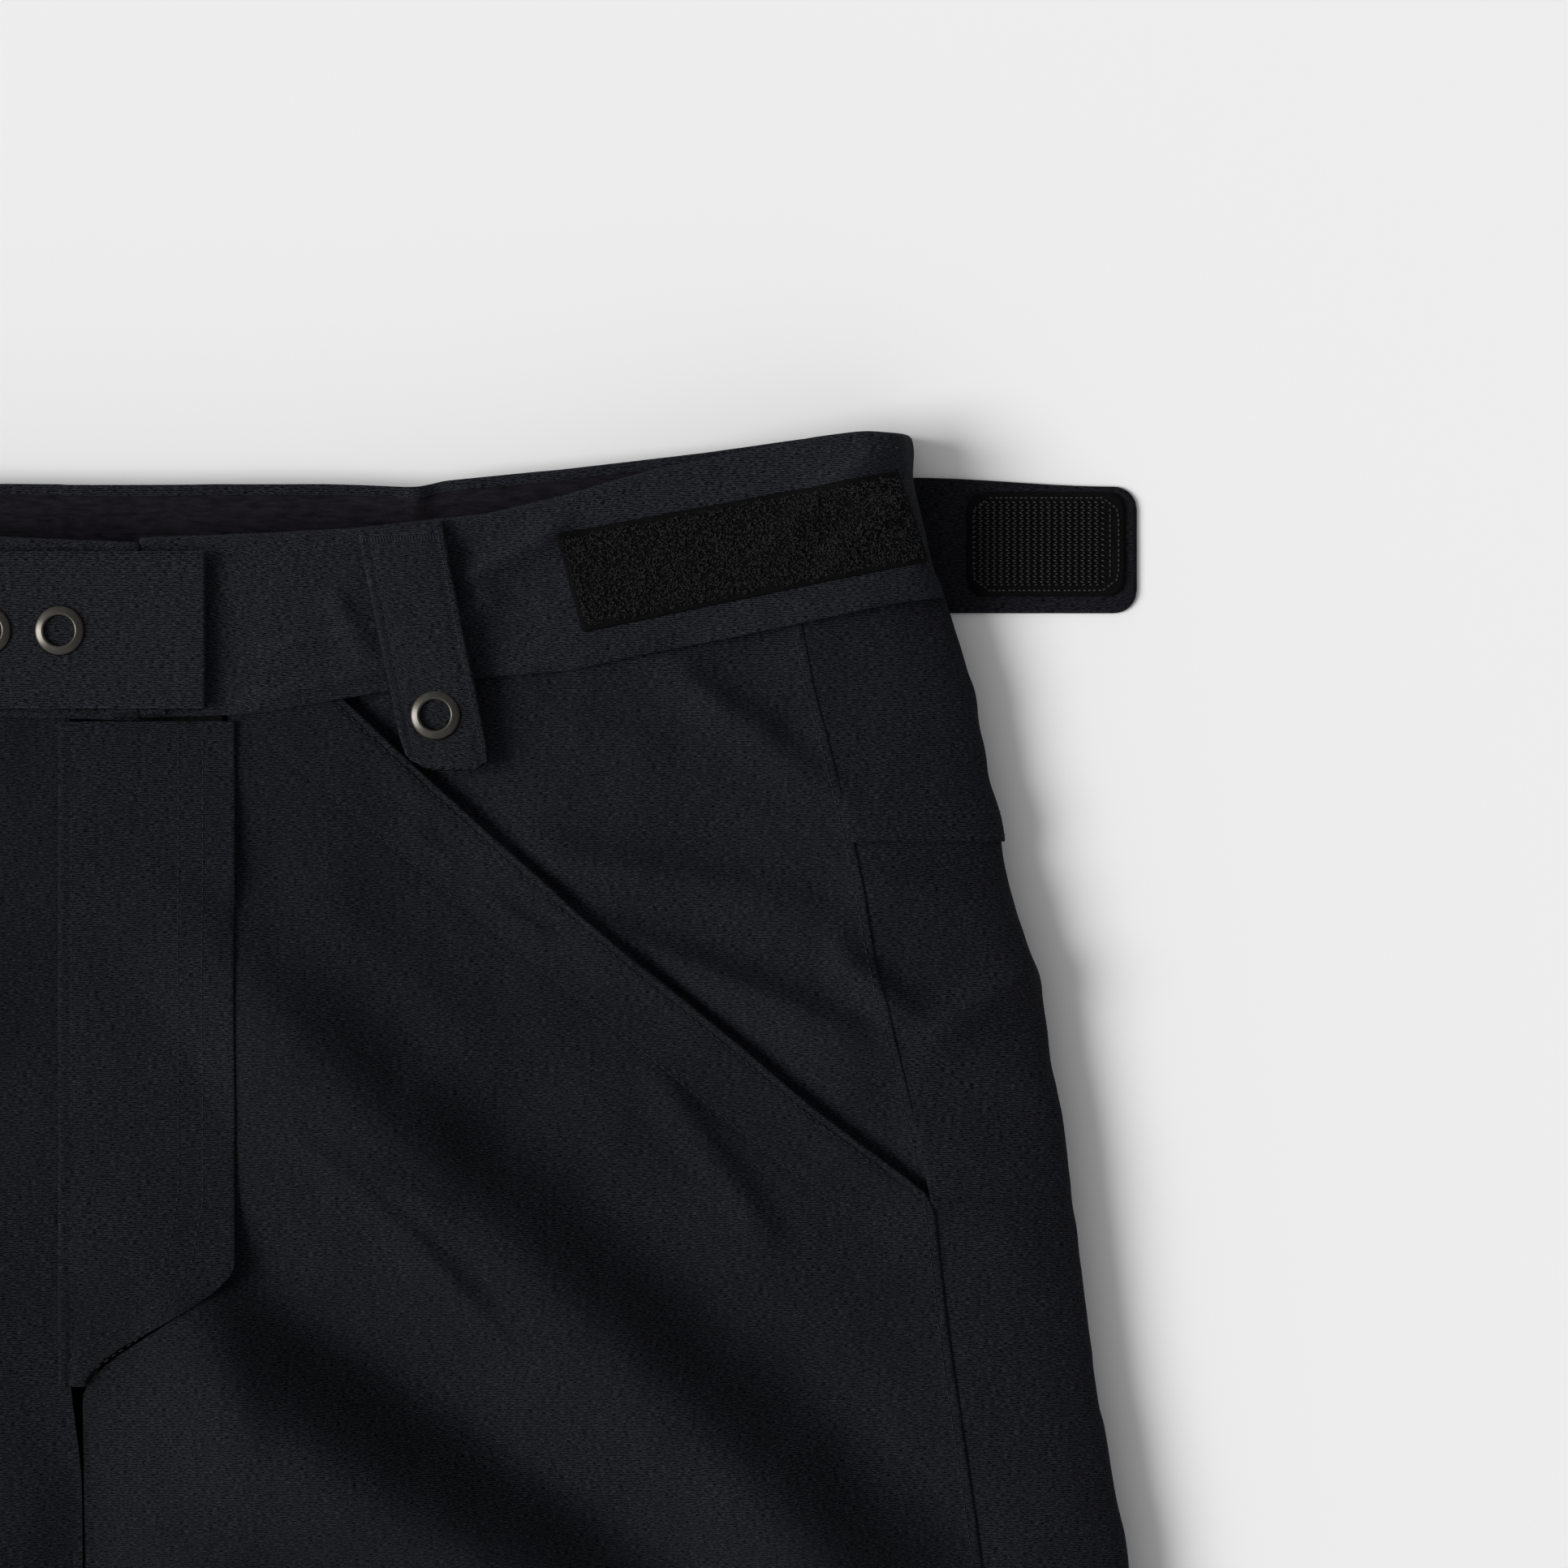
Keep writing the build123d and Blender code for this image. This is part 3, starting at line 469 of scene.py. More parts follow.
def dress(tree, p, rough, swing, height, strength, bump):
    # roughness swinging with one mask, and a fine relief
    tree.links.new(node(tree, "ShaderNodeMapRange", {"Value": rough[1], "To Min": rough[0] - swing,
            "To Max": rough[0] + swing})
                   .outputs[0], p["Roughness"])
    tree.links.new(node(tree, "ShaderNodeBump", {"Height": height, "Strength": strength,
            "Distance": bump * mm})
                   .outputs[0], p["Normal"])


def wovenCloth(name, colour, rough=0.8, rib=0.46, yarn=0.62, cells=0.3, bump=0.16, tone=0.2, sheen=0.0,
               specular=0.06, inside=None):
    m, tree, p = newMaterial(name)
    w = group(tree, weave, Rib=rib, Yarn=yarn, Cells=cells)
    s = group(tree, wear)
    base = toned(tree, colour, w["Slub"], 1 - tone, 1 + tone)
    base = toned(tree, base, w["Thread"], 0.1, 1.9, 0.0, 1.0)
    base = toned(tree, base, w["Cloud"], 0.95, 1.05)
    lint = node(tree, "ShaderNodeMix", {0: s["Specks"], 6: base, 7: (0.05, 0.05, 0.052, 1)},
                data_type="RGBA").outputs[2]
    if inside:
        back = node(tree, "ShaderNodeNewGeometry", {}).outputs["Backfacing"]
        lint = node(tree, "ShaderNodeMix", {0: back, 6: lint, 7: (*inside, 1)}, data_type="RGBA").outputs[2]
    tree.links.new(lint, p["Base Color"])
    dress(tree, p, (rough, w["Slub"]), 0.08, w["Height"], 0.8, bump)
    p["Specular IOR Level"].default_value = specular
    p["Sheen Weight"].default_value = sheen
    p["Sheen Roughness"].default_value = 0.45
    p["Sheen Tint"].default_value = (0.75, 0.8, 1.0, 1)
    return m


def napCloth(name, colour, scale=900.0, stretch=1.0, rough=0.9, bump=0.3, tone=0.3, sheen=0.0, specular=0.1,
             metal=0.0):
    m, tree, p = newMaterial(name)
    n = group(tree, nap, Scale=scale, Stretch=stretch)
    s = group(tree, wear)
    base = toned(tree, toned(tree, colour, n["Height"], 1 - tone, 1 + tone), s["Rub"], 0.92, 1.08)
    tree.links.new(base, p["Base Color"])
    dress(tree, p, (rough, n["Tone"]), 0.1, n["Height"], 0.7, bump)
    p["Specular IOR Level"].default_value = specular
    p["Sheen Weight"].default_value = sheen
    p["Sheen Roughness"].default_value = 0.5
    p["Metallic"].default_value = metal
    return m


lining = (0.011, 0.011, 0.0125)
shell = wovenCloth("shellCloth", (0.0104, 0.0110, 0.0136), inside=lining)
# the waistband's shell is the leg shell's cloth made about 1.4 times lighter: painted light, the brighter lit
# tone of the garment's upper part set against its more shaded lower parts
bandShellPaintedLight = wovenCloth("bandClothPaintedLight", (0.0142, 0.0149, 0.0190), inside=lining)
backingShell = wovenCloth("backingCloth", (0.0120, 0.0126, 0.0160), inside=lining)
sideShell = wovenCloth("sideCloth", (0.0108, 0.0114, 0.0144), inside=lining)
strapCloth = wovenCloth("strapCloth", (0.0136, 0.0143, 0.0182))
tabCloth = wovenCloth("tabCloth", (0.0082, 0.0077, 0.0100), rib=0.3, yarn=1.8, cells=0.1, rough=0.7,
                      bump=0.06)
taffeta = wovenCloth("taffeta", (0.012, 0.012, 0.0135), rib=0.24, yarn=0.24, rough=0.5, bump=0.03,
                     specular=0.4)
scuffCloth = wovenCloth("scuffCloth", (0.007, 0.0072, 0.0085), rib=1.1, yarn=1.1, cells=0.6, bump=0.16)
zipTape = wovenCloth("zipTape", (0.0075, 0.0078, 0.009), rib=0.9, yarn=0.5, cells=0.4, bump=0.12)
elastic = wovenCloth("elastic", (0.010, 0.010, 0.0115), rib=1.5, yarn=0.7, cells=0.4, bump=0.25)
fleece = napCloth("fleece", (0.0074, 0.0060, 0.0091), stretch=4.5, bump=0.8, tone=0.9, sheen=0.08)
thread = napCloth("thread", (0.0190, 0.0196, 0.0232), scale=2600.0, rough=0.6, bump=0.05, specular=0.12)
paleThread = napCloth("paleThread", (0.026, 0.026, 0.029), scale=2600.0, rough=0.5, bump=0.05, specular=0.3)
loopBase = napCloth("loopBase", (0.0014, 0.0014, 0.0017), scale=2400.0, bump=0.2, specular=0.1)
loopFibre = napCloth("loopFibre", (0.0074, 0.0074, 0.0088), scale=3000.0, rough=0.42, bump=0.02,
                     specular=0.55)
hookPlastic = napCloth("hookPlastic", (0.0260, 0.0260, 0.0280), scale=1600.0, rough=0.4, bump=0.02,
                       specular=0.5)
gunmetal = napCloth("gunmetal", (0.085, 0.079, 0.070), scale=700.0, rough=0.34, bump=0.004, tone=0.12,
                    specular=0.5, metal=1.0)
teethPlastic = napCloth("teethPlastic", (0.012, 0.012, 0.013), scale=900.0, rough=0.35, bump=0.01,
                        specular=0.5)
print("materials made")

# the plan: seams and edges. Across-running ones give a depth for an x, down-running ones an x for a depth
bandTop = curve([(0, 27.5), (44, 25.8), (68.4, 24.4), (89.6, 22), (100, 21), (120, 16.2), (140, 10.2),
                 (160, 6.2),
                 (180, 2.2), (194, 0.4), (203.6, 1.2), (212, 2)], 2.5)
bandSeam = curve([(0, 71), (44, 69.8), (74, 64.4), (98, 60.8), (120, 59.4), (140, 55), (160, 50.8),
                  (177, 47.4),
                  (190, 44.8), (202, 42.2), (213, 40.8)], 2.5)
bandEdge = curve([(-4, 202.8), (1.2, 203.6), (11.8, 205), (23.8, 208), (33.8, 210), (41.4, 213), (50, 216)],
                 2)
sideSeam = curve([(36, 175), (47.4, 177), (63.8, 180), (77.8, 184), (93.8, 188), (101.8, 190), (113.8, 192.4),
                  (129.8, 195), (145.8, 199), (161.8, 203), (177.8, 207), (186.8, 209), (213.8, 212), (229.8,
                          214),
                  (249.8, 217), (280.2, 221.4), (322, 226), (352, 230), (400, 236), (460, 243), (530, 250),
                  (610, 256), (700, 263), (800, 269), (900, 273), (985, 276.5), (1066, 279)], 4)
outerEdge = curve([(34, 210.5), (41.8, 213), (51.8, 217), (65.8, 220), (81.8, 222.6), (101.8, 227),
                   (118.8, 231),
                   (132.8, 236), (155.8, 240), (189.8, 245), (221.8, 248.4), (253.8, 254), (280.2,
                           258), (322, 265),
                   (400, 275), (460, 282), (530, 289), (610, 294), (700, 299), (800, 303), (900, 306), (1066,
                           310)], 3)
innerEdge = curve([(280, 0.3), (322, 1.5), (352, 11), (400, 19), (460, 28), (530, 37), (610, 46), (700, 56),
                   (800, 65), (900, 72), (985, 77), (1066, 80)], 4)
innerSeam = curve([(276, 0.3), (286, 0.6), (300, 8), (322, 19.5), (352, 29), (400, 37), (460, 46), (530, 55),
                   (610, 64), (700, 74), (800, 83), (900, 90), (985, 95), (1066, 98)], 4)
pocketEdge = curve([(60, 58), (67.4, 66), (80.8, 80), (98.8, 100), (116.8, 120), (133.8, 140), (149.8, 160),
                    (166.8, 180), (181.8, 200), (187.2, 207)], 2)
pocketRow = [(47, 77.8), (80, 105.5), (120, 138), (160, 170.5), (209, 209.5)]
hemAt, kneeAt, topLevel = 1066.0, 610.0, 22.3

# start, end, bow, width below, width above, height; the first of each pair of lists is the wearer's left
hipFolds = {1: [((-8, 92.5), (258, 351), 0, 20, 15, 11.4), ((8, 78), (254, 306), 0, 14, 12, -3.5),
                ((-10, 209), (178, 332), 0, 19, 16.5, 13.8),
                ((-20, 170.3), (189, 307), 0, 12, 13, -7.0), ((20, 150), (14, 440), 0, 30, 46, 4.5),
                ((44, 168), (110, 232), 3.5, 3.2, 3.6, 3.6), ((42, 106), (112, 170), 2, 13, 10,
                        4.4), ((62, 176), (96, 196), -1, 4, 3.5, 1.6),
                ((136, 152), (174, 206), 1, 5, 4.0, 2.7), ((84, 99), (204, 124), 1, 9, 6, 4.4), ((108, 116),
                        (204, 155), 1, 8, 4.8, 5.4),
                ((137, 48), (192, 92), -3, 6, 4.5, 2.3), ((182, 123), (212, 148), -2, 5, 4,
                        3.4), ((202, 154), (250, 128), 2, 5.5, 4.5, 4.6),
                ((180, 110), (248, 119), 0, 6.5, 5, 3.0), ((184, 162), (246, 168), 0, 9, 8,
                        -2.2), ((196, 190), (250, 205), 0, 12, 9, 2.2),
                ((100, 120), (146, 136), 0, 4, 3, 1.6), ((78, 96), (96, 110), 0, 3, 2.6, 1.1), ((96, 112),
                        (118, 128), 0, 3, 2.6, 1.2),
                ((150, 64), (176, 76), 0, 5, 4, 1.6), ((112, 72), (150, 80), 0, 7, 6, 1.5), ((90, 318),
                        (215, 268), 4, 20, 18, 4.0)],
            -1: [((-6, 104), (240, 300), 4, 24, 18, 8.5), ((14, 190), (170, 322), -4, 20, 16, 10.5),
                 ((60, 150), (132, 236), 3, 4, 6, 2.4), ((30, 96), (120, 160), 0, 12, 12, 2.8),
                 ((130, 200), (205, 236), 2, 9, 9, 2.8), ((140, 120), (198, 150), 0, 9, 9, 2.4),
                 ((150, 60), (190, 96), 2, 6, 6, 1.7), ((182, 118), (246, 130), 0, 7, 7, 2.4),
                 ((80, 330), (220, 250), -3, 18, 20, 4.5), ((14, 270), (64, 336), 0, 15, 12, 4.5)]}
legFolds = {1: [((30, 350), (250, 420), 6, 22, 20, 5), ((40, 470), (270, 400), 0, 24, 20, 4.5),
                ((60, 520), (290, 560), -6, 20, 18, 4),
                ((40, 590), (290, 640), 5, 16, 14, 3.5), ((50, 640), (280, 610), 0, 12, 12, 3), ((70, 700),
                        (300, 790), 8, 26, 22, 5),
                ((70, 830), (300, 760), 0, 22, 20, 4), ((80, 900), (310, 960), -6, 18, 16, 3.5), ((90, 1010),
                        (300, 975), 4, 16, 14, 3)],
            -1: [((20, 360), (260, 400), -6, 22, 20, 4.5), ((40, 440), (270, 500), 4, 24, 20, 5),
                 ((50, 570), (290, 530), 0, 20, 18, 4),
                 ((50, 600), (290, 625), 5, 15, 14, 3.2), ((60, 690), (300, 660), 0, 14, 14, 3), ((70, 750),
                         (300, 820), -6, 26, 22, 5),
                 ((80, 860), (305, 850), 0, 20, 18, 3.5), ((80, 930), (310, 910), 5, 18, 16,
                         3.5), ((90, 985), (300, 1020), 4, 15, 14, 3)]}


def frontZ(x, d, way=1):
    # the front of the garment as it lies: a level, its folds, small waves, and puckers beside the seams
    shape = np.broadcast(x, d).shape
    x, d = np.broadcast_to(x, shape), np.broadcast_to(d, shape)
    z = topLevel + folds(x, d, hipFolds[way]) * (1 - (1 - ease(x / 42)) * ease((d - 150) / 60)) + folds(x, d,
            legFolds[way]) * ease((x + 4) / 16)
    z = z + 1.0 * softNoise(x, d, 33, 5 + way) + 0.42 * softNoise(x, d, 13, 9 + way) + 0.1 * softNoise(x, d,
            5, 2)
    below = d - bandSeam(x)
    z = z + 0.6 * np.exp(-np.maximum(below, 0) / 9) * softNoise(x, d * 0.2, 7, 11 + way)
    aside = x - sideSeam(d)
    z = z + 0.5 * np.exp(-np.abs(aside) / 6) * softNoise(x * 0.2, d, 7, 14 + way)
    edge = (x - pocketEdge(np.clip(d, 60, 190))) * 0.7
    inPocket = ease((d - 62) / 8) * ease((196 - d) / 12)
    z = z + inPocket * np.where(edge < 0.5, 1.5 * np.exp(-(edge / 9) ** 2) + 0.3 * np.exp(-(edge / 7) ** 2)
                                * softNoise(x - d, x + d, 9, 17), 0)
    z = z - 0.3 * np.exp(-(nearLine(x, d, pocketRow) / 1.1) ** 2)
    z = z - 0.5 * np.exp(-((edge + 1.6) / 0.8) ** 2) * inPocket
    z = z - 6.0 * np.exp(-(x / 13) ** 2) * ease((d - 225) / 60) * (1 - ease((d - 300) / 40))
    return z


def backingZ(x, d, way=1):
    edge = (x - pocketEdge(np.clip(d, 60, 190))) * 0.7
    z = frontZ(x, d, way) - 0.3
    return np.where(edge > 0, z - 4.6 * np.exp(-np.maximum(edge, 0) / 7), z - 4.6 - 2.4 * ease(-edge / 12))


superTurn = {}


def cSection(power, count):
    # a half superellipse from the top round the edge to the underside, at even spacing
    if (power, count) not in superTurn:
        t = np.linspace(math.pi / 2, -math.pi / 2, 4001)
        cx = np.abs(np.cos(t)) ** (2 / power)
        cz = np.sign(np.sin(t)) * np.abs(np.sin(t)) ** (2 / power)
        far = np.concatenate([[0], np.cumsum(np.hypot(np.diff(cx) * 3.2, np.diff(cz)))])
        s = np.linspace(0, far[-1], count)
        superTurn[power, count] = np.interp(s, far, cx), np.interp(s, far, cz)
    return superTurn[power, count]


def turnedSide(d, start, edge, way, power=2.5, count=76, low=0.3, lift=0.0, lap=0.0):
    # a panel from its front seam over the garment's edge to its back seam; lap runs it on under the front
    d = d[:, None]
    thin = 1 - ease((d - 480) / 300)
    (cx, cz), (roundX, roundZ) = cSection(power, count), cSection(1.95, count)
    cx, cz = cx + (roundX - cx) * thin, cz + (roundZ - cz) * thin
    xs, xe = start(d), edge(d)
    half = (topLevel - low) / 2
    x = xs + (xe - xs) * cx
    z = low + half + half * cz
    over = np.clip(cz, 0, 1)
    z = z + (frontZ(x, d, way) - topLevel) * over ** 0.7 - 0.25 * over
    x = x + 0.7 * (1 - np.abs(cz)) * softNoise(0 * x + 3, d, 15,
            21 + way) + (1 - cz ** 2) * 0.4 * softNoise(z, d, 7, 23 + way)
    grid = laid(x, d, z)
    grid = grid + unit(np.cross(np.gradient(grid, axis=0), np.gradient(grid, axis=1))) * np.sign((xe
            - xs).mean()) * lift
    if lap:
        inward = np.sign((xs - xe).mean())
        k = np.linspace(1, 0.15, 5)
        under = xs + inward * lap * k
        z = np.where(d < 190, backingZ(under, d, way), frontZ(under, d, way)) - 0.7
        grid = np.concatenate([np.stack([under, -d + 0 * k, z], -1), grid], 1)
    grid[..., 2] = np.maximum(grid[..., 2], 0.12)
    return grid


def depths(a, b, fine=1.3, coarse=5.0, fineTo=330.0):
    if b <= fineTo:
        return steps(a, b, 0.5, fine)
    return np.concatenate([steps(a, fineTo, 0.5, fine, 4, 0)[:-1],
                           steps(fineTo, b, coarse, coarse, 0, 0)[:-4],
                           np.linspace(b - 3 * coarse, b, 14)[1:]])


kneeZone = 84.0


def kneeBend(shin):
    # hip body, leg body, and the two ends of the soft zone between them
    return "pants", shin, (0, (topMm - kneeAt + kneeZone / 2) * mm, 0), (0,
            (topMm - kneeAt - kneeZone / 2) * mm, 0)


print("plan ready")
made = {}
for name, way in sides.items():
    shin = f"{name}_lower_leg"

    # front leg panel, from the fly and waist seam to the hem, with the folded pocket edge
    front = dict(fly=36.0 if way > 0 else 3.0, flyEnd=205.0 if way > 0 else 228.0)
    d = depths(56, hemAt)
    flyEdge = front["fly"] + (0.25 - front["fly"]) * ease((d - front["flyEnd"]) / 34)
    x0 = np.where(d < 276, flyEdge, np.maximum(innerSeam(d) - 0.3, 0.25))
    pocket = pocketEdge(np.minimum(d, 188))
    x1 = np.where(d < 187, pocket - 0.4, sideSeam(d) + 0.3)
    x1 = x1 + np.where((d >= 187) & (d < 193), (pocket - 0.4 - x1) * ease((193 - d) / 6), 0)
    share = steps(0, 1, 0.0028, 0.0085, 0.03, 0.06)
    x = x0[:, None] + (x1 - x0)[:, None] * share
    dd = d[:, None] + 0 * x
    z = frontZ(x, dd, way) + 0.45 * ease((dd - 186) / 8) * np.exp(-np.maximum(sideSeam(dd) - x, 0) / 2.5)
    grid = laid(x, dd, z)
    grid = rolled(rolled(grid, "right", 0.6, 5), "bottom", 0.7, 14)
    obj = clothPiece(f"{name}_front_leg_shell", grid, way, shell, grain=2.0 * way)
    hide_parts(f"{name}_front_thigh_panel", f"{name}_front_shin_panel")
    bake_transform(obj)
    made[name, "front"] = grid

    # pocket backing, and the pocket's bag under the front panel
    d = steps(40, 214, 0.6, 1.2)
    x0 = pocketEdge(np.clip(d, 60, 190)) - 22
    x1 = sideSeam(d) + 0.3
    x = x0[:, None] + (x1 - x0)[:, None] * np.linspace(0, 1, 130)
    dd = d[:, None] + 0 * x
    grid = laid(x, dd, backingZ(x, dd, way) + 0.65 * np.exp(-np.maximum(sideSeam(dd) - x, 0) / 2.5))
    grid[..., 2] -= 1.8 * ease((dd - 184) / 8)
    grid = rolled(grid, "right", 0.4, 1.5)
    obj = clothPiece(f"{name}_pocket_backing_shell", grid, way, backingShell, grain=0.0,
                     body="pants")
    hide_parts(f"{name}_pocket_backing")
    d = np.linspace(74, 262, 60)
    low, high = curve([(70, 60), (150, 56), (236, 84), (262, 140)],
                      8)(d), curve([(70, 66), (194, 196), (236, 200), (262, 152)], 8)(d)
    x = low[:, None] + (high - low)[:, None] * np.linspace(0, 1, 50)
    dd = d[:, None] + 0 * x
    grid = laid(x, dd, 13.2 + 0.7 * softNoise(x, dd, 18, 31 + way))
    obj = clothPiece(f"{name}_pocket_bag_cloth", grid, way, taffeta,
                     body="pants")
    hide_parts(f"{name}_pocket_bag")

    # side: yoke over the long side panel, both turning over the garment's edge to the back
    grid = turnedSide(depths(93, hemAt, fine=1.4), sideSeam, outerEdge, way, lap=2.4, count=84)
    grid = rolled(rolled(grid, "bottom", 0.7, 14), "right", 0.2, 2)
    obj = clothPiece(f"{name}_side_leg_shell", grid, way, sideShell, grain=-3.0)
    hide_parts(f"{name}_side_thigh_panel", f"{name}_side_shin_panel")
    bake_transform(obj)
    made[name, "side"] = grid
    rows = steps(36, 101.0, 0.5, 1.1)
    grid = turnedSide(rows, sideSeam, outerEdge, way, lift=0.25, lap=2.4, count=96)
    out = unit(np.cross(np.gradient(grid, axis=0), np.gradient(grid, axis=1)))
    grid = grid + out * (0.75 * ease((rows - 84) / 14))[:, None, None]
    grid = rolled(rolled(grid, "bottom", 0.4, 3), "right", 0.2, 2)
    grid[..., 2] = np.maximum(grid[..., 2], 0.1)
    obj = clothPiece(f"{name}_side_yoke_shell", grid, way, sideShell, grain=-2.0,
                     body="pants")
    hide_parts(f"{name}_side_yoke")
    made[name, "yoke"], made[name, "yokeRows"] = grid, rows

    # inner leg panel; the two close the seat between them where the legs part
    grid = turnedSide(depths(280, hemAt), innerSeam, innerEdge, way, count=60)
    grid[..., 0] = np.maximum(grid[..., 0], 0.12)
    grid = grid[:, ::-1]
    grid = rolled(rolled(grid, "bottom", 0.7, 14), "right", 0.6, 3)
    obj = clothPiece(f"{name}_inner_leg_shell", grid, way, sideShell, grain=3.0)
    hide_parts(f"{name}_inner_thigh_panel", f"{name}_inner_shin_panel", "crotch_gusset")
    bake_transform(obj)
    made[name, "inner"] = grid

    # back leg panel, lying on the surface
    d = depths(50, hemAt, fine=2.2)
    x0 = np.where(d < 276, 0.2, np.maximum(innerSeam(d) - 1, 0.2))
    x1 = sideSeam(d) + 1
    x = x0[:, None] + (x1 - x0)[:, None] * np.linspace(0, 1, 90)
    dd = d[:, None] + 0 * x
    z = 0.9 + 0.5 * softNoise(x, dd, 24, 41 + way) + 0.15 * softNoise(x, dd, 8,
            43) + 3 * np.exp(-(x / 12) ** 2) * ease((dd - 230) / 40) * (dd < 330)
    nearSeam = np.minimum(ease((x - x0[:, None]) / 8) + (dd < 276), ease((x1[:, None] - x) / 8))
    grid = laid(x, dd, 0.45 + (z - 0.45) * np.clip(nearSeam, 0, 1))[:, ::-1]
    grid = rolled(grid, "bottom", -0.5, 14)
    obj = clothPiece(f"{name}_back_leg_shell", grid, way, shell, grain=0.0)
    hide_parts(f"{name}_back_thigh_panel", f"{name}_back_shin_panel")
    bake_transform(obj)
    made[name, "back"] = grid
    print(name, "leg panels made")

# waistband
bandFolds = {1: [((86, 51), (106, 39), 1, 3, 2.8, 2.2), ((36, 54), (98, 45), 1, 4, 1.6, 3.2),
                 ((36, 67), (88, 55), 0, 3, 2.8, 3.2),
                 ((88, 40), (124, 21), 0, 4, 3.2, 3.4), ((168, 31), (205, 1), 3, 5, 3.4, 2.0), ((180, 37),
                         (213, 10), 3, 4.5, 3, 2.0),
                 ((144, 58), (206, 39), 0, 3.6, 3.4, 2.2), ((98, 59), (152, 50), 0, 3.6, 3, 1.8), ((184, 12),
                         (206, 18), 0, 3, 3, 1.6),
                 ((60, 36), (72, 58), 0, 3.4, 3, 1.6)],
             -1: [((60, 60), (110, 52), 1, 4, 3, 0.8), ((92, 44), (120, 26), 0, 4, 4, 0.9),
                  ((172, 34), (208, 6), 3, 5, 4, 1.3)]}


def bandZ(x, d, way=1):
    shape = np.broadcast(x, d).shape
    x, d = np.broadcast_to(x, shape), np.broadcast_to(d, shape)
    v = (d - bandTop(x)) / (bandSeam(x) - bandTop(x))
    z = topLevel + 1.6 + 1.0 * np.clip(4 * v * (1 - v), 0, 1) ** 0.6 + folds(x, d, bandFolds[way])
    z = z + 0.6 * softNoise(x, d, 22, 51 + way) + 0.2 * softNoise(x, d, 7, 53 + way)
    z = z + 0.35 * np.exp(-((v - 1) / 0.12) ** 2) * softNoise(x, d * 0.3, 7,
            55 + way) - 0.15 * np.exp(-((v - 0.955) / 0.02) ** 2)
    return z - 0.28 * np.exp(-((v - 0.07) / 0.03) ** 2)


def bandGrid(way, startX, low=1.3, lift=0.0, topIn=0.0, wrap=True, count=44, finish=186.0):
    v = steps(0, 1, 0.012, 1 / count, 0.08, 0.1)[:, None]
    x = np.arange(startX, finish, 1.1)[None]
    top, seam = bandTop(x) + topIn, bandSeam(x) - 0.3
    d = top + (seam - top) * v
    flat = laid(x, d, bandZ(x, d, way) + lift)
    if not wrap:
        return flat
    cx, cz = cSection(2.9, 70)
    x = finish + (bandEdge(1.5 + 40 * v) - finish + 3.0 * np.exp(-((v - 0.05) / 0.16) ** 2)
                  * np.clip(-cz + 0.25, 0, 1)) * cx
    top, seam = bandTop(np.minimum(x, 206)), bandSeam(np.minimum(x, 212)) - 0.3
    d = top + (seam - top) * v
    half = (topLevel + 1.9 - low) / 2
    z = low + half + half * cz + (bandZ(x, d, way) - topLevel - 1.9) * np.clip(cz, 0, 1) ** 0.5
    turn = laid(x, d, z + lift * cz)
    return np.concatenate([flat, turn], 1)


def backBandZ(x, d):
    away = d - backTop(x)
    z = 3.2 + 4.6 * np.exp(-(away / 16) ** 2) + 0.6 * softNoise(x, d, 19, 61) + 0.25 * softNoise(x, d * 0.4,
            7, 62)
    return z + 1.7 * np.exp(-((x - 82) / 2.2) ** 2) * np.exp(-away
            / 9) - 1.2 * np.exp(-((x - 88) / 4) ** 2) * np.exp(-away / 10)


backTop = curve([(-190, 0.8), (-178, 2), (-154, 5.4), (-120, 9.4), (-89, 12.2), (-60, 13), (0, 13.4),
                 (60, 13.2), (82, 14.0),
                 (89, 12.4), (120, 9.4), (154, 5.4), (178, 2), (190, 0.8)], 1.8)
backSeam = curve([(-190, 45), (-154, 48.8), (-120, 53.2), (-60, 57), (0, 57.2), (60, 57), (120, 53.2),
                  (154, 48.8), (190, 45)], 3)
for name, way in sides.items():
    grid = bandGrid(way, 14.8 if way > 0 else -13.8)
    made[name, "band"] = grid
    grid = rolled(rolled(grid, "top", 1.0, 2.5), "bottom", 0.4, 2.5)
    grid[..., 2] = np.maximum(grid[..., 2], 0.3)
    grid = rolled(grid, "left", 0.7, 6)
    obj = clothPiece(f"{name}_waistband_front_shell", grid, way, bandShellPaintedLight, grain=-13.0,
                     body="pants")
    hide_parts(f"waistband_front_{name}")
    grid = bandGrid(way, 16, lift=-3.4, topIn=2.5, wrap=False, finish=184.0)
    obj = clothPiece(f"{name}_waistband_front_lining", grid, way, fleece,
                     body="pants")
    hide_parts("waistband_front_linings")

v = steps(0, 1, 0.012, 0.03, 0.08, 0.08)[:, None]
x = np.arange(189.6, -189.7, -1.2)[None]
d = backTop(x) + (backSeam(x) - backTop(x)) * v
grid = rolled(laid(x, d, backBandZ(x, d)), "top", 0.75, 2.0)
grid = rolled(grid, "bottom", 0.2, 3)
grid[..., 2] = np.maximum(grid[..., 2], 1.25)
obj = clothPiece("waistband_back_shell", grid, 1, bandShellPaintedLight,
                 body="pants")
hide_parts("waistband_back")
x = x[:, ::-1]
d = backTop(x) + 1.0 + (backSeam(x) - backTop(x) - 1.5) * v
grid = laid(x, d, backBandZ(x, d) + 1.05 + 0.25 * softNoise(x, d * 3, 6, 64))
obj = clothPiece("waistband_back_fleece", grid, 1, fleece,
                 body="pants")
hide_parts("waistband_back_lining")
rear = dict(top=15, low=53, half=10, level=1.15, thick=0.9)
for label, at in (("left", 95), ("middle", 0), ("right", -95)):
    d = np.linspace(rear["top"], rear["low"], 26)[:, None]
    x = np.linspace(at - rear["half"], at + rear["half"], 18)[None]
    grid = laid(x, d, rear["level"])
    obj = slabPiece(f"rear_belt_loop_{label}", grid, rear["thick"], 1, strapCloth,
                    body="pants")
    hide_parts("rear_belt_loops")
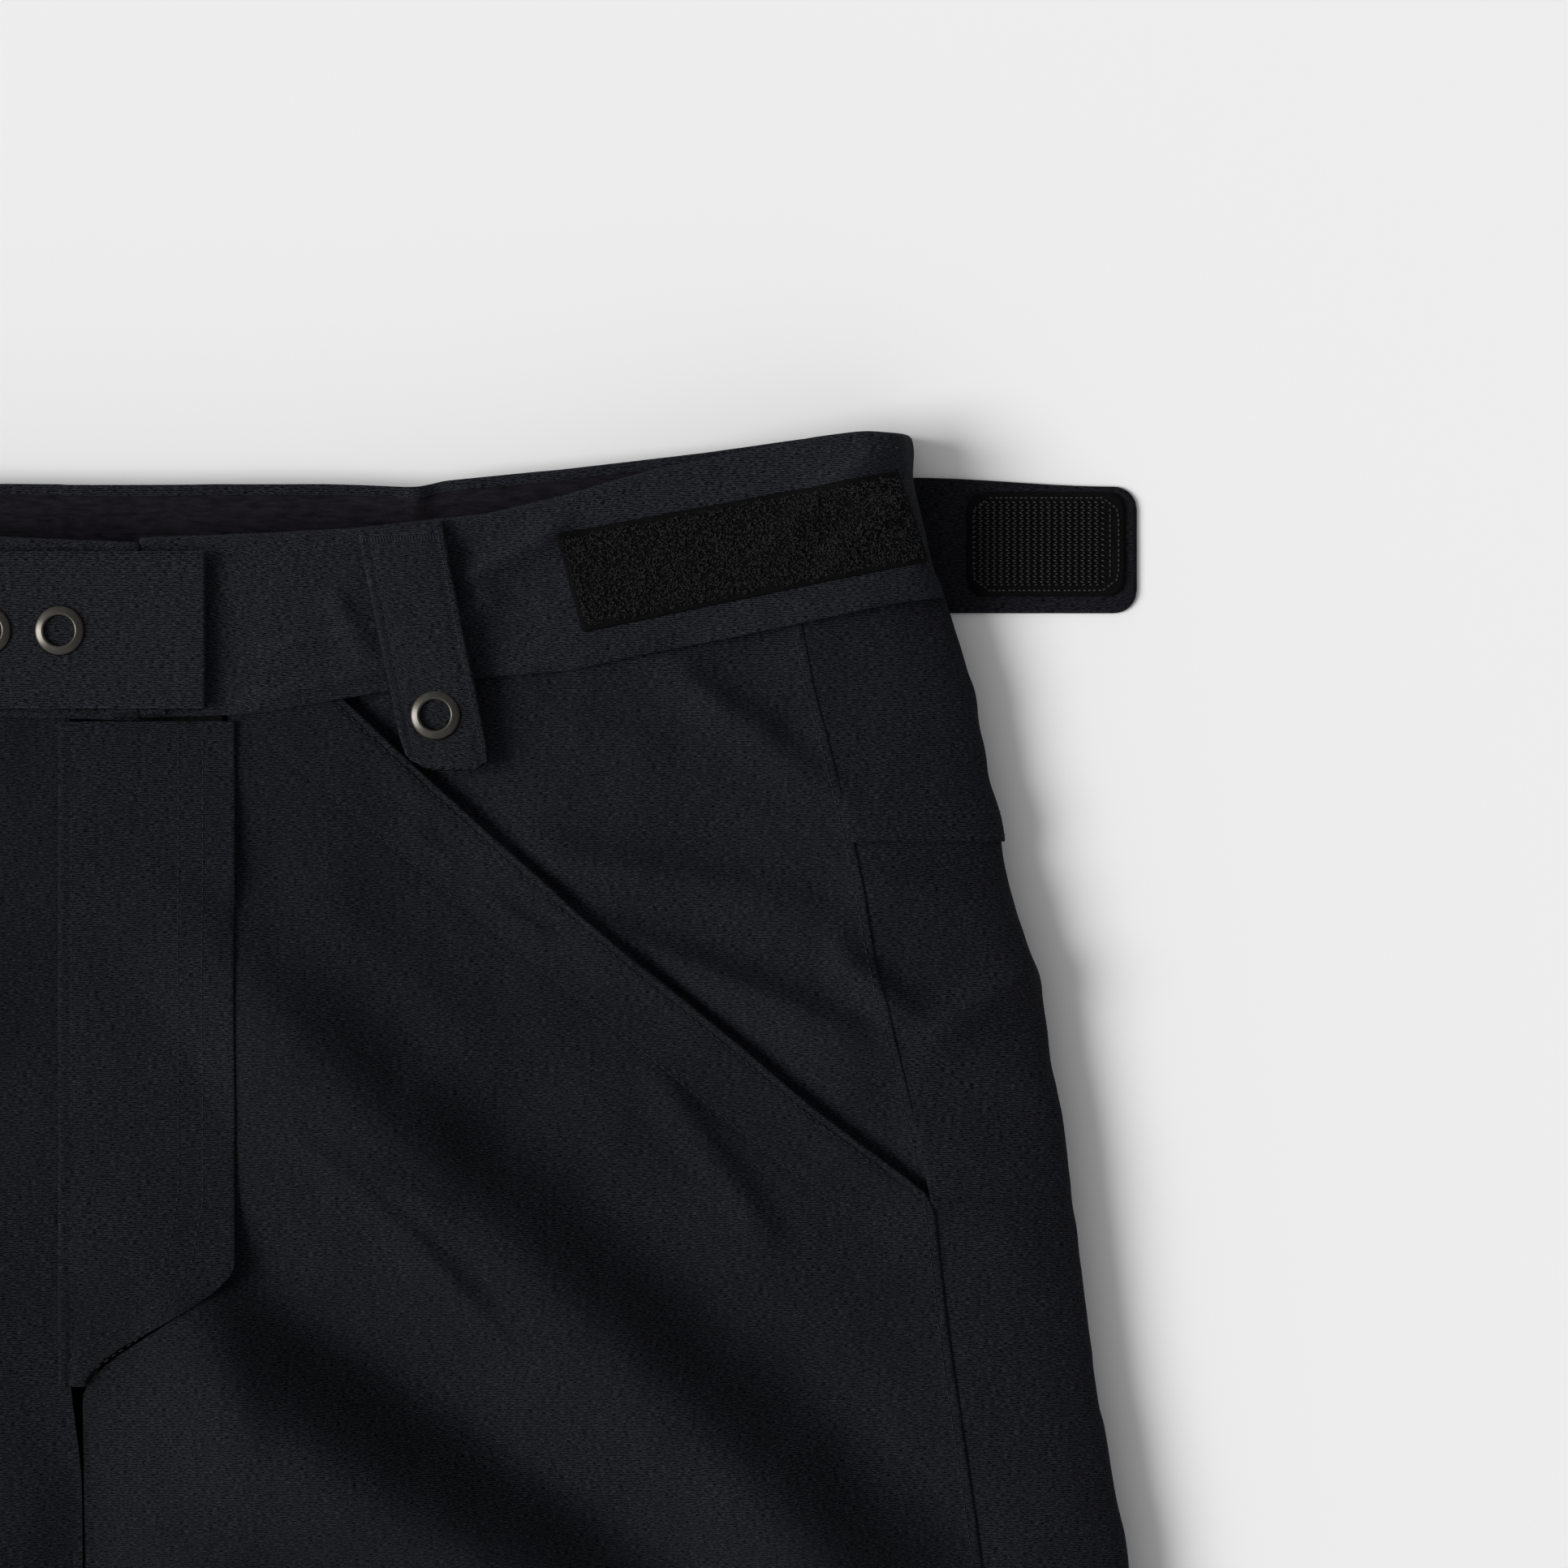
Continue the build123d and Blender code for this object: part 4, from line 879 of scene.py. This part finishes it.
print("waistband made")

# the tape on the band, the side tabs with their tape, the belt loops and ring snaps
def strapMiddle(d):
    # the belt loop slants: the x of its middle line at a depth
    return 78.6 + 11.8 * (d - 23) / 58


snapLevel = 28.85
ringOutline = [(3.75, -0.35), (3.7, 0.5), (3.85, 0.95), (4.15, 1.12), (4.5, 1.05), (4.9, 0.88), (5.5, 0.72),
               (5.95, 0.45),
               (6.2, 0.05), (6.2, -0.35)]
ringProfile = [(radius, height + snapLevel) for radius, height in ringOutline]
for name, way in sides.items():
    # soft tape: a thick base, thinned at its edges, and fibre loops standing on it
    tape = dict(top=((117.6, 25.8), (201, 10.2)), low=((124, 49.2), (208, 31.8)), thick=1.25, loops=5600)
    (xa, da), (xb, db) = tape["top"]
    (xc, dc), (xe, de) = tape["low"]
    band = made[name, "band"]

    def onBand(s, v, lift, way=way, band=band, xa=xa, xb=xb, xc=xc, xe=xe, da=da, db=db, dc=dc, de=de):
        # a place on the tape: s along it, v across it; past the flat it follows the band round the side
        x = (xa + (xb - xa) * s) * (1 - v) + (xc + (xe - xc) * s) * v
        d = (da + (db - da) * s) * (1 - v) + (dc + (de - dc) * s) * v
        turn = np.clip((x - 186.0) / (bandEdge(d) - 186.0), 0, 0.985)
        fall = (1 - turn ** 2.9) ** (1 / 2.9)
        level = 1.3 + (topLevel + 0.6) / 2
        z = np.where(x > 186, level + (topLevel + 0.6) / 2 * fall + (bandZ(x, d, way) - topLevel - 1.9)
                     * fall, bandZ(x, d, way))
        return np.stack([x + lift * np.where(x > 186, turn ** 3, 0), -d,
                         z + lift * np.where(x > 186, fall, 1)], -1)

    s, v = steps(0, 1, 0.006, 0.013, 0.03, 0.03)[None], steps(0, 1, 0.02, 0.04, 0.1, 0.1)[:, None]
    grid = onBand(s, v, tape["thick"] - 0.35 * (np.exp(-(v / 0.05) ** 2) + np.exp(-((1 - v) / 0.05) ** 2)))
    obj = slabPiece(f"{name}_band_loop_tape", grid, 1.2, way, loopBase,
                    body="pants")
    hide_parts(f"{name}_loop_tape")
    rng = np.random.default_rng(70 + way)
    n = tape["loops"]
    root = onBand(rng.uniform(0.008, 0.992, n), rng.uniform(0.045, 0.955, n), tape["thick"] - 0.15)
    turn, wide, tall = rng.uniform(0, 2 * math.pi, n), rng.uniform(0.25, 0.6, n), rng.uniform(0.4, 1.1, n)
    a = np.linspace(0, math.pi, 5)
    lean = rng.normal(0, 0.35, (n, 2))
    arc = np.stack([np.cos(turn)[:, None] * np.cos(a) * wide[:, None] + lean[:, :1] * np.sin(a),
                    np.sin(turn)[:, None] * np.cos(a) * wide[:, None] + lean[:, 1:] * np.sin(a),
                    np.sin(a) * tall[:, None]], -1)
    centre = root[:, None] + arc
    across = np.stack([-np.sin(turn), np.cos(turn), 0 * turn], -1)[:, None]
    out3 = unit(np.cross(np.gradient(arc, axis=1), across + 0 * arc))
    ring = [centre + (across * math.cos(q) + out3 * math.sin(q)) * 0.085 for q in (0.5, 2.6, 4.7)]
    pts = np.stack(ring, 2)
    obj = makeMesh(f"{name}_loop_tape_pile", pts, [tubeFaces(n, 5, 3)], pts.reshape(-1, 3)[:, :2], loopFibre,
                   way)
    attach(obj, "pants")

    # side tab: one strap from behind the band to its round-cornered end
    tab = dict(start=181.0, end=260.6, corner=5.3, thick=1.15)
    x = steps(tab["start"], tab["end"], 0.3, 1.2, 3, 5)[None]
    near = np.clip((x - (tab["end"] - tab["corner"])) / tab["corner"], 0, 1)
    inset = tab["corner"] * (1 - np.sqrt(1 - near ** 2))
    v = steps(0, 1, 0.012, 0.035, 0.06, 0.06)[:, None]
    top, low = 11.2 + 2.2 * ease((x - 205) / 50) + inset, np.where(x < 214, 40.6, 44.0) - inset
    low = low + (40.6 + 3.4 * ease((x - 206) / 5) - inset - low) * (x < 215)
    d = top + (low - top) * v
    z = 1.42 + 0.08 * softNoise(x, d, 9, 81) + 0 * d
    grid = laid(x, d, z)
    made[name, "tab"] = grid
    obj = slabPiece(f"{name}_adjuster_strap", grid, tab["thick"], way, tabCloth)
    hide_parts(f"{name}_adjuster_tab")
    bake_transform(obj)
    hook = dict(start=219.2, end=257.6, top=14.8, low=39.8, corner=4.0, level=2.6, files=1.7, pegs=0.66,
                thick=1.1)
    x0, x1, d0, d1, r = (hook[key] for key in ("start", "end", "top", "low", "corner"))
    x = steps(x0, x1, 0.25, 1.0, 4, 4)[None]
    near = np.clip(np.maximum(x0 + r - x, x - x1 + r) / r, 0, 1)
    inset = r * (1 - np.sqrt(1 - near ** 2))
    d = d0 + inset + (d1 - d0 - 2 * inset) * steps(0, 1, 0.015, 0.04, 0.08, 0.08)[:, None]
    grid = laid(x, d, hook["level"] + 0.05 * softNoise(x, d, 5, 83))
    obj = slabPiece(f"{name}_hook_tape_base", grid, hook["thick"], way, loopBase,
                    body=f"{name}_tab")
    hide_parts(f"{name}_hook_tape")
    # hooks: short bent pegs in slanting files, every other file leaning the other way
    col, row = np.meshgrid(np.arange(int((x1 - x0 - 5.2) / hook["files"])),
                           np.arange(int((d1 - d0 - 3.6) / hook["pegs"])), indexing="ij")
    col, row = col.ravel(), row.ravel()
    hx = x0 + 2.1 + col * hook["files"] + 0.34 * np.where(row % 2 == 0, 1, -1)
    hd = d0 + 2.0 + row * hook["pegs"]
    lean = np.where(row % 2 == 0, 1.0, -1.0)
    keep = np.hypot(np.maximum(np.abs(hx - (x0 + x1) / 2) - (x1 - x0) / 2 + r + 1.4, 0),
                    np.maximum(np.abs(hd - (d0 + d1) / 2) - (d1 - d0) / 2 + r + 1.4, 0)) < r
    hx, hd, lean = hx[keep], hd[keep], lean[keep]
    n = len(hx)
    bend = np.array([(0, 0), (0.05, 0.45), (0.22, 0.82), (0.5, 0.95), (0.72, 0.78)])
    c = np.stack([hx[:, None] + lean[:, None] * bend[:, 0] * 0.9, -hd[:, None] - 0.35 * bend[:, 0],
                  2.5 + bend[:, 1] + 0 * hx[:, None]], -1)
    thick = np.array([0.24, 0.2, 0.17, 0.16, 0.08])[None, :, None]
    tang = unit(np.gradient(c, axis=1))
    sx = np.array([0, 1.0, 0])
    sn = unit(np.cross(tang, sx))
    ring = np.stack([c + (sx * math.cos(q) + sn * math.sin(q)) * thick for q in (0, 1.57, 3.14, 4.71)], 2)
    f = tubeFaces(n, 5, 4)[:, [0, 3, 2, 1]]
    cap = np.stack([np.arange(n) * 20 + 16 + k for k in (0, 1, 2, 3)], -1)
    obj = makeMesh(f"{name}_hook_tape_hooks", ring, [np.concatenate([f, cap])], ring.reshape(-1, 3)[:, :2],
                   hookPlastic, way)
    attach(obj, f"{name}_tab")
    loopRound = [(x0 + 5, d0 + 1), (x1 - 5, d0 + 1), (x1 - 1.6, d0 + 3.6), (x1 - 1.1, d0 + 6),
                 (x1 - 1.1, d1 - 6), (x1 - 1.6, d1 - 3.6),
                 (x1 - 5, d1 - 1), (x0 + 5, d1 - 1), (x0 + 1.6, d1 - 3.6), (x0 + 1.1, d1 - 6), (x0 + 1.1,
                         d0 + 6), (x0 + 1.6, d0 + 3.6), (x0 + 5, d0 + 1)]
    flatTop = lambda x, d: 2.68 + 0 * x
    threads(f"{name}_hook_tape_stitches", [sewnLine(loopRound, flatTop, 0.1, 0.2),
            sewnLine([(x1 - 3.2, d0 + 3.5), (x1 - 3.2, d1 - 3.5)], flatTop, 0.05, 0.2)],
            way, paleThread, pitch=1.25, length=1.0, wide=0.5, high=0.3, body=f"{name}_tab")

    # belt loop: a strap sewn at the waist edge, standing off the band, snapped down at its end
    strap = dict(thick=1.5, snapX=87.4, snapDepth=70.0, top=23.2, end=83.2, half=10.1)
    rise = curve([(22, 25.8), (24.5, 27.0), (29, 30.4), (36, 32.0), (52, 32.0), (60, 30.4), (68, 28.9),
                  (76, 28.3), (84, 27.3)], 1.4)

    def strapZ(x, d, rise=rise, strap=strap):
        across = (x - strapMiddle(d)) / 10.2
        z = rise(d) - 0.35 * np.abs(across) ** 3 + 0.18 * softNoise(x, d, 8, 91) + 0.07 * softNoise(x, d,
                3.5, 92)
        z = z - 0.32 * np.exp(-((np.abs(across) - 0.8)
                                / 0.07) ** 2) - 0.45 * np.exp(-((np.hypot(x - strap["snapX"],
                d - strap["snapDepth"]) - 4) / 3.6) ** 2)
        return z + 0.35 * np.exp(-((d - 24.6) / 1.2) ** 2)

    v = steps(0, 1, 0.009, 0.018, 0.06, 0.06)[:, None]
    u = steps(-1, 1, 0.03, 0.07, 0.2, 0.2)[None]
    end = strap["end"] - 2.3 * np.clip(np.abs(u), 0, 1) ** 5 - 1.6 * np.clip(-u, 0, 1) ** 2
    start = strap["top"] - 1.2 * u
    d = start + (end - start) * v
    x = strapMiddle(d) + strap["half"] * u * (1 - 0.05 * ease((v - 0.93) / 0.07) * np.abs(u))
    grid = laid(x, d, strapZ(x, d))
    obj = slabPiece(f"{name}_belt_loop_strap", grid, strap["thick"], way, strapCloth, grain=-11.0,
                    body=f"{name}_belt_loop")
    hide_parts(f"{name}_belt_loop")
    obj = turned(f"{name}_ring_snap", strap["snapX"], strap["snapDepth"], ringProfile, way, gunmetal,
                 body=f"{name}_belt_loop")
    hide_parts(f"{name}_loop_snap_ring")
    low = lambda q, grid=grid: gridLine(grid, column=q, lift=0.06, part=(0.05, 0.985))
    runs = [low(len(u[0]) * 0.155), low(len(u[0]) * 0.885), gridLine(grid, row=len(v) * 0.955, lift=0.06,
            part=(0.14, 0.88))]
    threads(f"{name}_belt_loop_stitches", runs, way, thread, body=f"{name}_belt_loop")
    bars = [sewnLine([(68.9 + 0.19 * q, 26.2 - 0.03 * q), (88.9 + 0.19 * q, 25.0 - 0.03 * q)], strapZ, 0.05)
            for q in (0, 2.6)]
    zig = [sewnLine([(69.4 + k * 0.72, 26.0 - 0.043 * k), (69.9 + k * 0.72, 28.4 - 0.043 * k)], strapZ, 0.08,
                    0.2) for k in range(28)]
    threads(f"{name}_belt_loop_bar_tack", bars + zig, way, thread, pitch=2.5, length=2.3, wide=0.3,
            high=0.12, body=f"{name}_belt_loop")
    print(name, "waist fittings made")

# waist tab, fly flap, underlap
closure = dict(top=30.5, low=68.0, tip=-34.0, root=30.4, corner=2.5, level=28.5, thick=1.7,
               snaps=(-23.0, -5.0), snapDepth=49.25)
tall = closure["low"] - closure["top"]
d = steps(closure["top"], closure["low"], 0.4, 1.2)[:, None]
x = steps(closure["tip"], closure["root"], 0.4, 1.2)[None]
near = np.clip((closure["tip"] + closure["corner"] - x) / closure["corner"], 0, 1)
corner = closure["corner"] * (1 - np.sqrt(1 - near ** 2))
d = closure["top"] + corner + (tall - 2 * corner) * (d - closure["top"]) / tall
grid = laid(x, d, closure["level"] + 0.16 * softNoise(x, d, 11, 101) - 0.3 * np.exp(-((x + 31.5) / 0.8) ** 2))
obj = slabPiece("waist_closure_tab", grid, closure["thick"], 1, bandShellPaintedLight,
                body="waist_tab")
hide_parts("waist_tab")
threads("waist_tab_stitches",
        [gridLine(grid, row=2.5, lift=0.05), gridLine(grid, row=len(grid) - 3.5, lift=0.05),
         gridLine(grid, column=3.5, lift=0.05)],
        1, thread, body="waist_tab")
for k, at in enumerate(closure["snaps"]):
    ring = turned(f"waist_tab_ring_snap_{k + 1}", at, closure["snapDepth"], ringProfile, 1, gunmetal,
                  body="waist_tab")
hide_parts("waist_tab_snap_rings")
fly = dict(top=71.6, low=235.5, left=-5, right=37.6, curveAt=205, level=24.6)
d = steps(fly["top"], fly["low"], 0.5, 1.6)[:, None]
right = fly["right"] - 37.0 * ease((d - fly["curveAt"]) / 31)
x = fly["left"] + (right - fly["left"]) * steps(0, 1, 0.02, 0.05, 0.1, 0.1)[None]
flat = lambda x, d: fly["level"] + 0.5 * softNoise(x, d, 21, 111) + 0.2 * softNoise(x, d, 9,
        112) - 0.4 * np.exp(-((x + 2.5) / 0.8) ** 2)
flap = lambda x, d: flat(x, d) + np.maximum(frontZ(x, d) + 0.9 - flat(x, d), 0) * ease((x + 2) / 10)
grid = rolled(laid(x, d, flap(x, d)), "left", 0.8, 9)
grid = rolled(grid, "right", 0.4, 3)
obj = clothPiece("fly_flap_shell", grid, 1, shell, grain=2.0,
                 body="fly_flap")
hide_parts("fly_flap")
curveRun = [(30, 76), (30, 190), (27, 206), (18, 221), (2, 232)]
threads("fly_flap_stitches", [sewnLine([(-2.4, 75), (-2.4, 232)], flap, 0.08), sewnLine(curveRun, flap, 0.08),
                              sewnLine([(q[0] - 6, q[1] - 2) for q in curveRun], flap,
                                      0.08)], 1, thread, body="fly_flap")
d, x = np.linspace(70, 232, 90)[:, None], np.linspace(-34, 34, 40)[None]
grid = laid(x, d, 12.7 + 0.5 * softNoise(x, d, 17, 113))
obj = clothPiece("fly_underlap_cloth", grid, 1, taffeta,
                 body="pants")
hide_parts("fly_underlap")

# inside the legs: gaiters with elastic cuffs; outside: the scuff guards
for name, way in sides.items():
    shin = f"{name}_lower_leg"
    gaiter = dict(top=925, cuff=1029.5, low=1052, level=12, half=7.2, inset=14)
    a = np.linspace(-math.pi / 2, 1.5 * math.pi, 180)
    d = np.linspace(gaiter["top"], gaiter["cuff"], 70)[:, None]
    gather = ease((d - 985) / 45)
    narrowed = gaiter["inset"] + 4 * gather
    x0, x1 = innerEdge(d) + narrowed, outerEdge(d) - narrowed
    cosA, sinA = np.sign(np.cos(a)) * np.abs(np.cos(a)) ** 0.5, np.sign(np.sin(a)) * np.abs(np.sin(a)) ** 0.9
    x = (x0 + x1) / 2 + (x1 - x0) / 2 * cosA
    z = gaiter["level"] + (gaiter["half"] - 0.8 * gather) * sinA + 0.5 * gather * np.sin(x
            * 1.1) * np.abs(sinA) + 0.4 * softNoise(x, d, 15, 121)
    grid = laid(x, d, z)[:, ::-1]
    obj = clothPiece(f"{name}_gaiter_cloth", grid, way, taffeta,
                     body=shin)
    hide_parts(f"{name}_gaiter")
    d = np.linspace(gaiter["cuff"], gaiter["low"], 40)[:, None]
    x0, x1 = innerEdge(d) + 18.5, outerEdge(d) - 18.5
    x = (x0 + x1) / 2 + (x1 - x0) / 2 * cosA
    z = gaiter["level"] + (gaiter["half"] - 0.8) * sinA + 0.35 * np.sin(x * 1.1) * np.abs(sinA)
    grid = rolled(laid(x, d, z)[:, ::-1], "bottom", 0.5, 12)
    obj = clothPiece(f"{name}_gaiter_elastic", grid, way, elastic,
                     body=shin)
    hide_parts(f"{name}_gaiter_cuff")
    scuff = dict(top=962, low=1062, outer=166, cornerAt=990, corner=9, lift=0.9)
    d = steps(scuff["top"], scuff["low"], 0.6, 2.4)[:, None]
    x0 = innerSeam(d) + 1.5 + scuff["corner"] * ease((scuff["cornerAt"] - d) / 28)
    x1 = scuff["outer"] + (d - scuff["top"]) * 0.1
    x = x0 + (x1 - x0) * steps(0, 1, 0.008, 0.025, 0.06, 0.06)[None]
    guard = lambda x, d, way=way: frontZ(x, d, way) + 0.9
    grid = laid(x, d, guard(x, d))
    for edge in ("left", "right", "top", "bottom"):
        grid = rolled(grid, edge, 0.4, 3)
    obj = clothPiece(f"{name}_scuff_patch", grid, way, scuffCloth,
                     body=shin)
    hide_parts(f"{name}_scuff_guard")
    inner = [(float(innerSeam(q)) + 3.4 + scuff["corner"] * float(ease((scuff["cornerAt"] - q) / 28)), q)
             for q in np.arange(964, 1061, 3.0)]
    runs = [sewnLine(inner, guard, 0.06), sewnLine([(inner[0][0], 964), (164, 964), (174, 1060)], guard,
            0.06)]
    side, frontP = made[name, "side"], made[name, "front"]
    for grid, part in ((side, (0.03, 0.97)), (frontP, (0.0, 0.96)), (made[name, "inner"], (0.02, 0.96)),
                       (made[name, "back"], (0.02, 0.98))):
        for back in (3.0, 18.0):
            rowAt = float(np.interp(-(hemAt - back), -(-grid[:-4, grid.shape[1] // 2, 1]),
                                    np.arange(len(grid) - 4)))
            runs.append(gridLine(grid, row=rowAt, lift=0.1, part=part))
    threads(f"{name}_hem_stitches", runs, way, thread, pitch=2.6, length=1.9, wide=0.4, body=shin)

    # the rows of stitches on the body of the pants
    fz = lambda x, d, way=way: frontZ(x, d, way)
    bz = lambda x, d, way=way: bandZ(x, d, way)
    yoke = made[name, "yoke"]
    pocketRows = [[(float(pocketEdge(q)) - 1.7, q + 1.3) for q in np.arange(66, 186, 3.0)], pocketRow]
    seam = [sewnLine(row, fz, 0.1) for row in pocketRows]
    xs = np.arange(-13 if way < 0 else 16, 204, 2.0)
    seam.append(sewnLine([(q, float(bandSeam(q)) - 2.0) for q in xs], bz, 0.08))
    seam.append(sewnLine([(q, float(bandTop(q)) + 3.2) for q in xs], bz, 0.08))
    seam.append(sewnLine([(float(sideSeam(q)) - 1.5, q) for q in np.arange(40, 184, 3.0)], lambda x, d,
                         way=way: backingZ(x, d, way) + 0.36, 0.12))
    for back in (1.3, 7.0):
        rowAt = float(np.interp(101.0 - back, made[name, "yokeRows"], np.arange(len(made[name, "yokeRows"]))))
        seam.append(gridLine(yoke, row=rowAt, lift=0.08, part=(0.04, 0.97)))
    threads(f"{name}_hip_stitches", seam, way, thread, body="pants")
    cols = [sewnLine([(float(sideSeam(q)) - 1.5, q) for q in np.arange(189, 1052, 3.0)], lambda x, d,
                     way=way: frontZ(x, d, way) + 0.25, 0.12)]
    threads(f"{name}_side_seam_stitches", cols, way, thread, bendAt=kneeBend(shin))
    cols = [gridLine(made[name, "inner"], column=len(made[name, "inner"][0]) - 7.5, lift=0.1,
                     part=(0.03, 0.985))]
    threads(f"{name}_inseam_stitches", cols, way, thread, bendAt=kneeBend(shin))
print("stitches made")

# pieces kept as modelled: their finishes only
for label, material in (("fly_zip_tapes", zipTape), ("fly_zip_teeth", teethPlastic),
                        ("fly_zip_slider", gunmetal), ("fly_zip_pull", gunmetal),
                        ("loop_snap_studs", gunmetal), ("waist_tab_snap_studs",
                                gunmetal), ("waist_tab_snap_sockets", gunmetal),
                        ("left_loop_snap_socket", gunmetal), ("right_loop_snap_socket",
                                gunmetal), ("tab_roots", tabCloth)):
    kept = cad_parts[label]
    kept.data.materials.clear()
    kept.data.materials.append(material)
    for q in kept.data.polygons:
        q.material_index = 0

# the surface it lies on
mat, tree, p = newMaterial("studioFloor")
cloud = node(tree, "ShaderNodeTexNoise", {"Scale": 1.5, "Detail": 2.0}).outputs["Fac"]
tree.links.new(toned(tree, (0.84, 0.84, 0.84), cloud, 0.995, 1.005), p["Base Color"])
p["Roughness"].default_value = 0.95
p["Specular IOR Level"].default_value = 0.0
size = 9.0
mesh = bpy.data.meshes.new("studioFloor")
mesh.from_pydata([(-size, -size, 0), (size, -size, 0), (size, size, 0), (-size, size, 0)], [], [(0, 1, 2, 3)])
floorObj = bpy.data.objects.new("studioFloor", mesh)
bpy.context.scene.collection.objects.link(floorObj)
mesh.materials.append(mat)

print("all made")
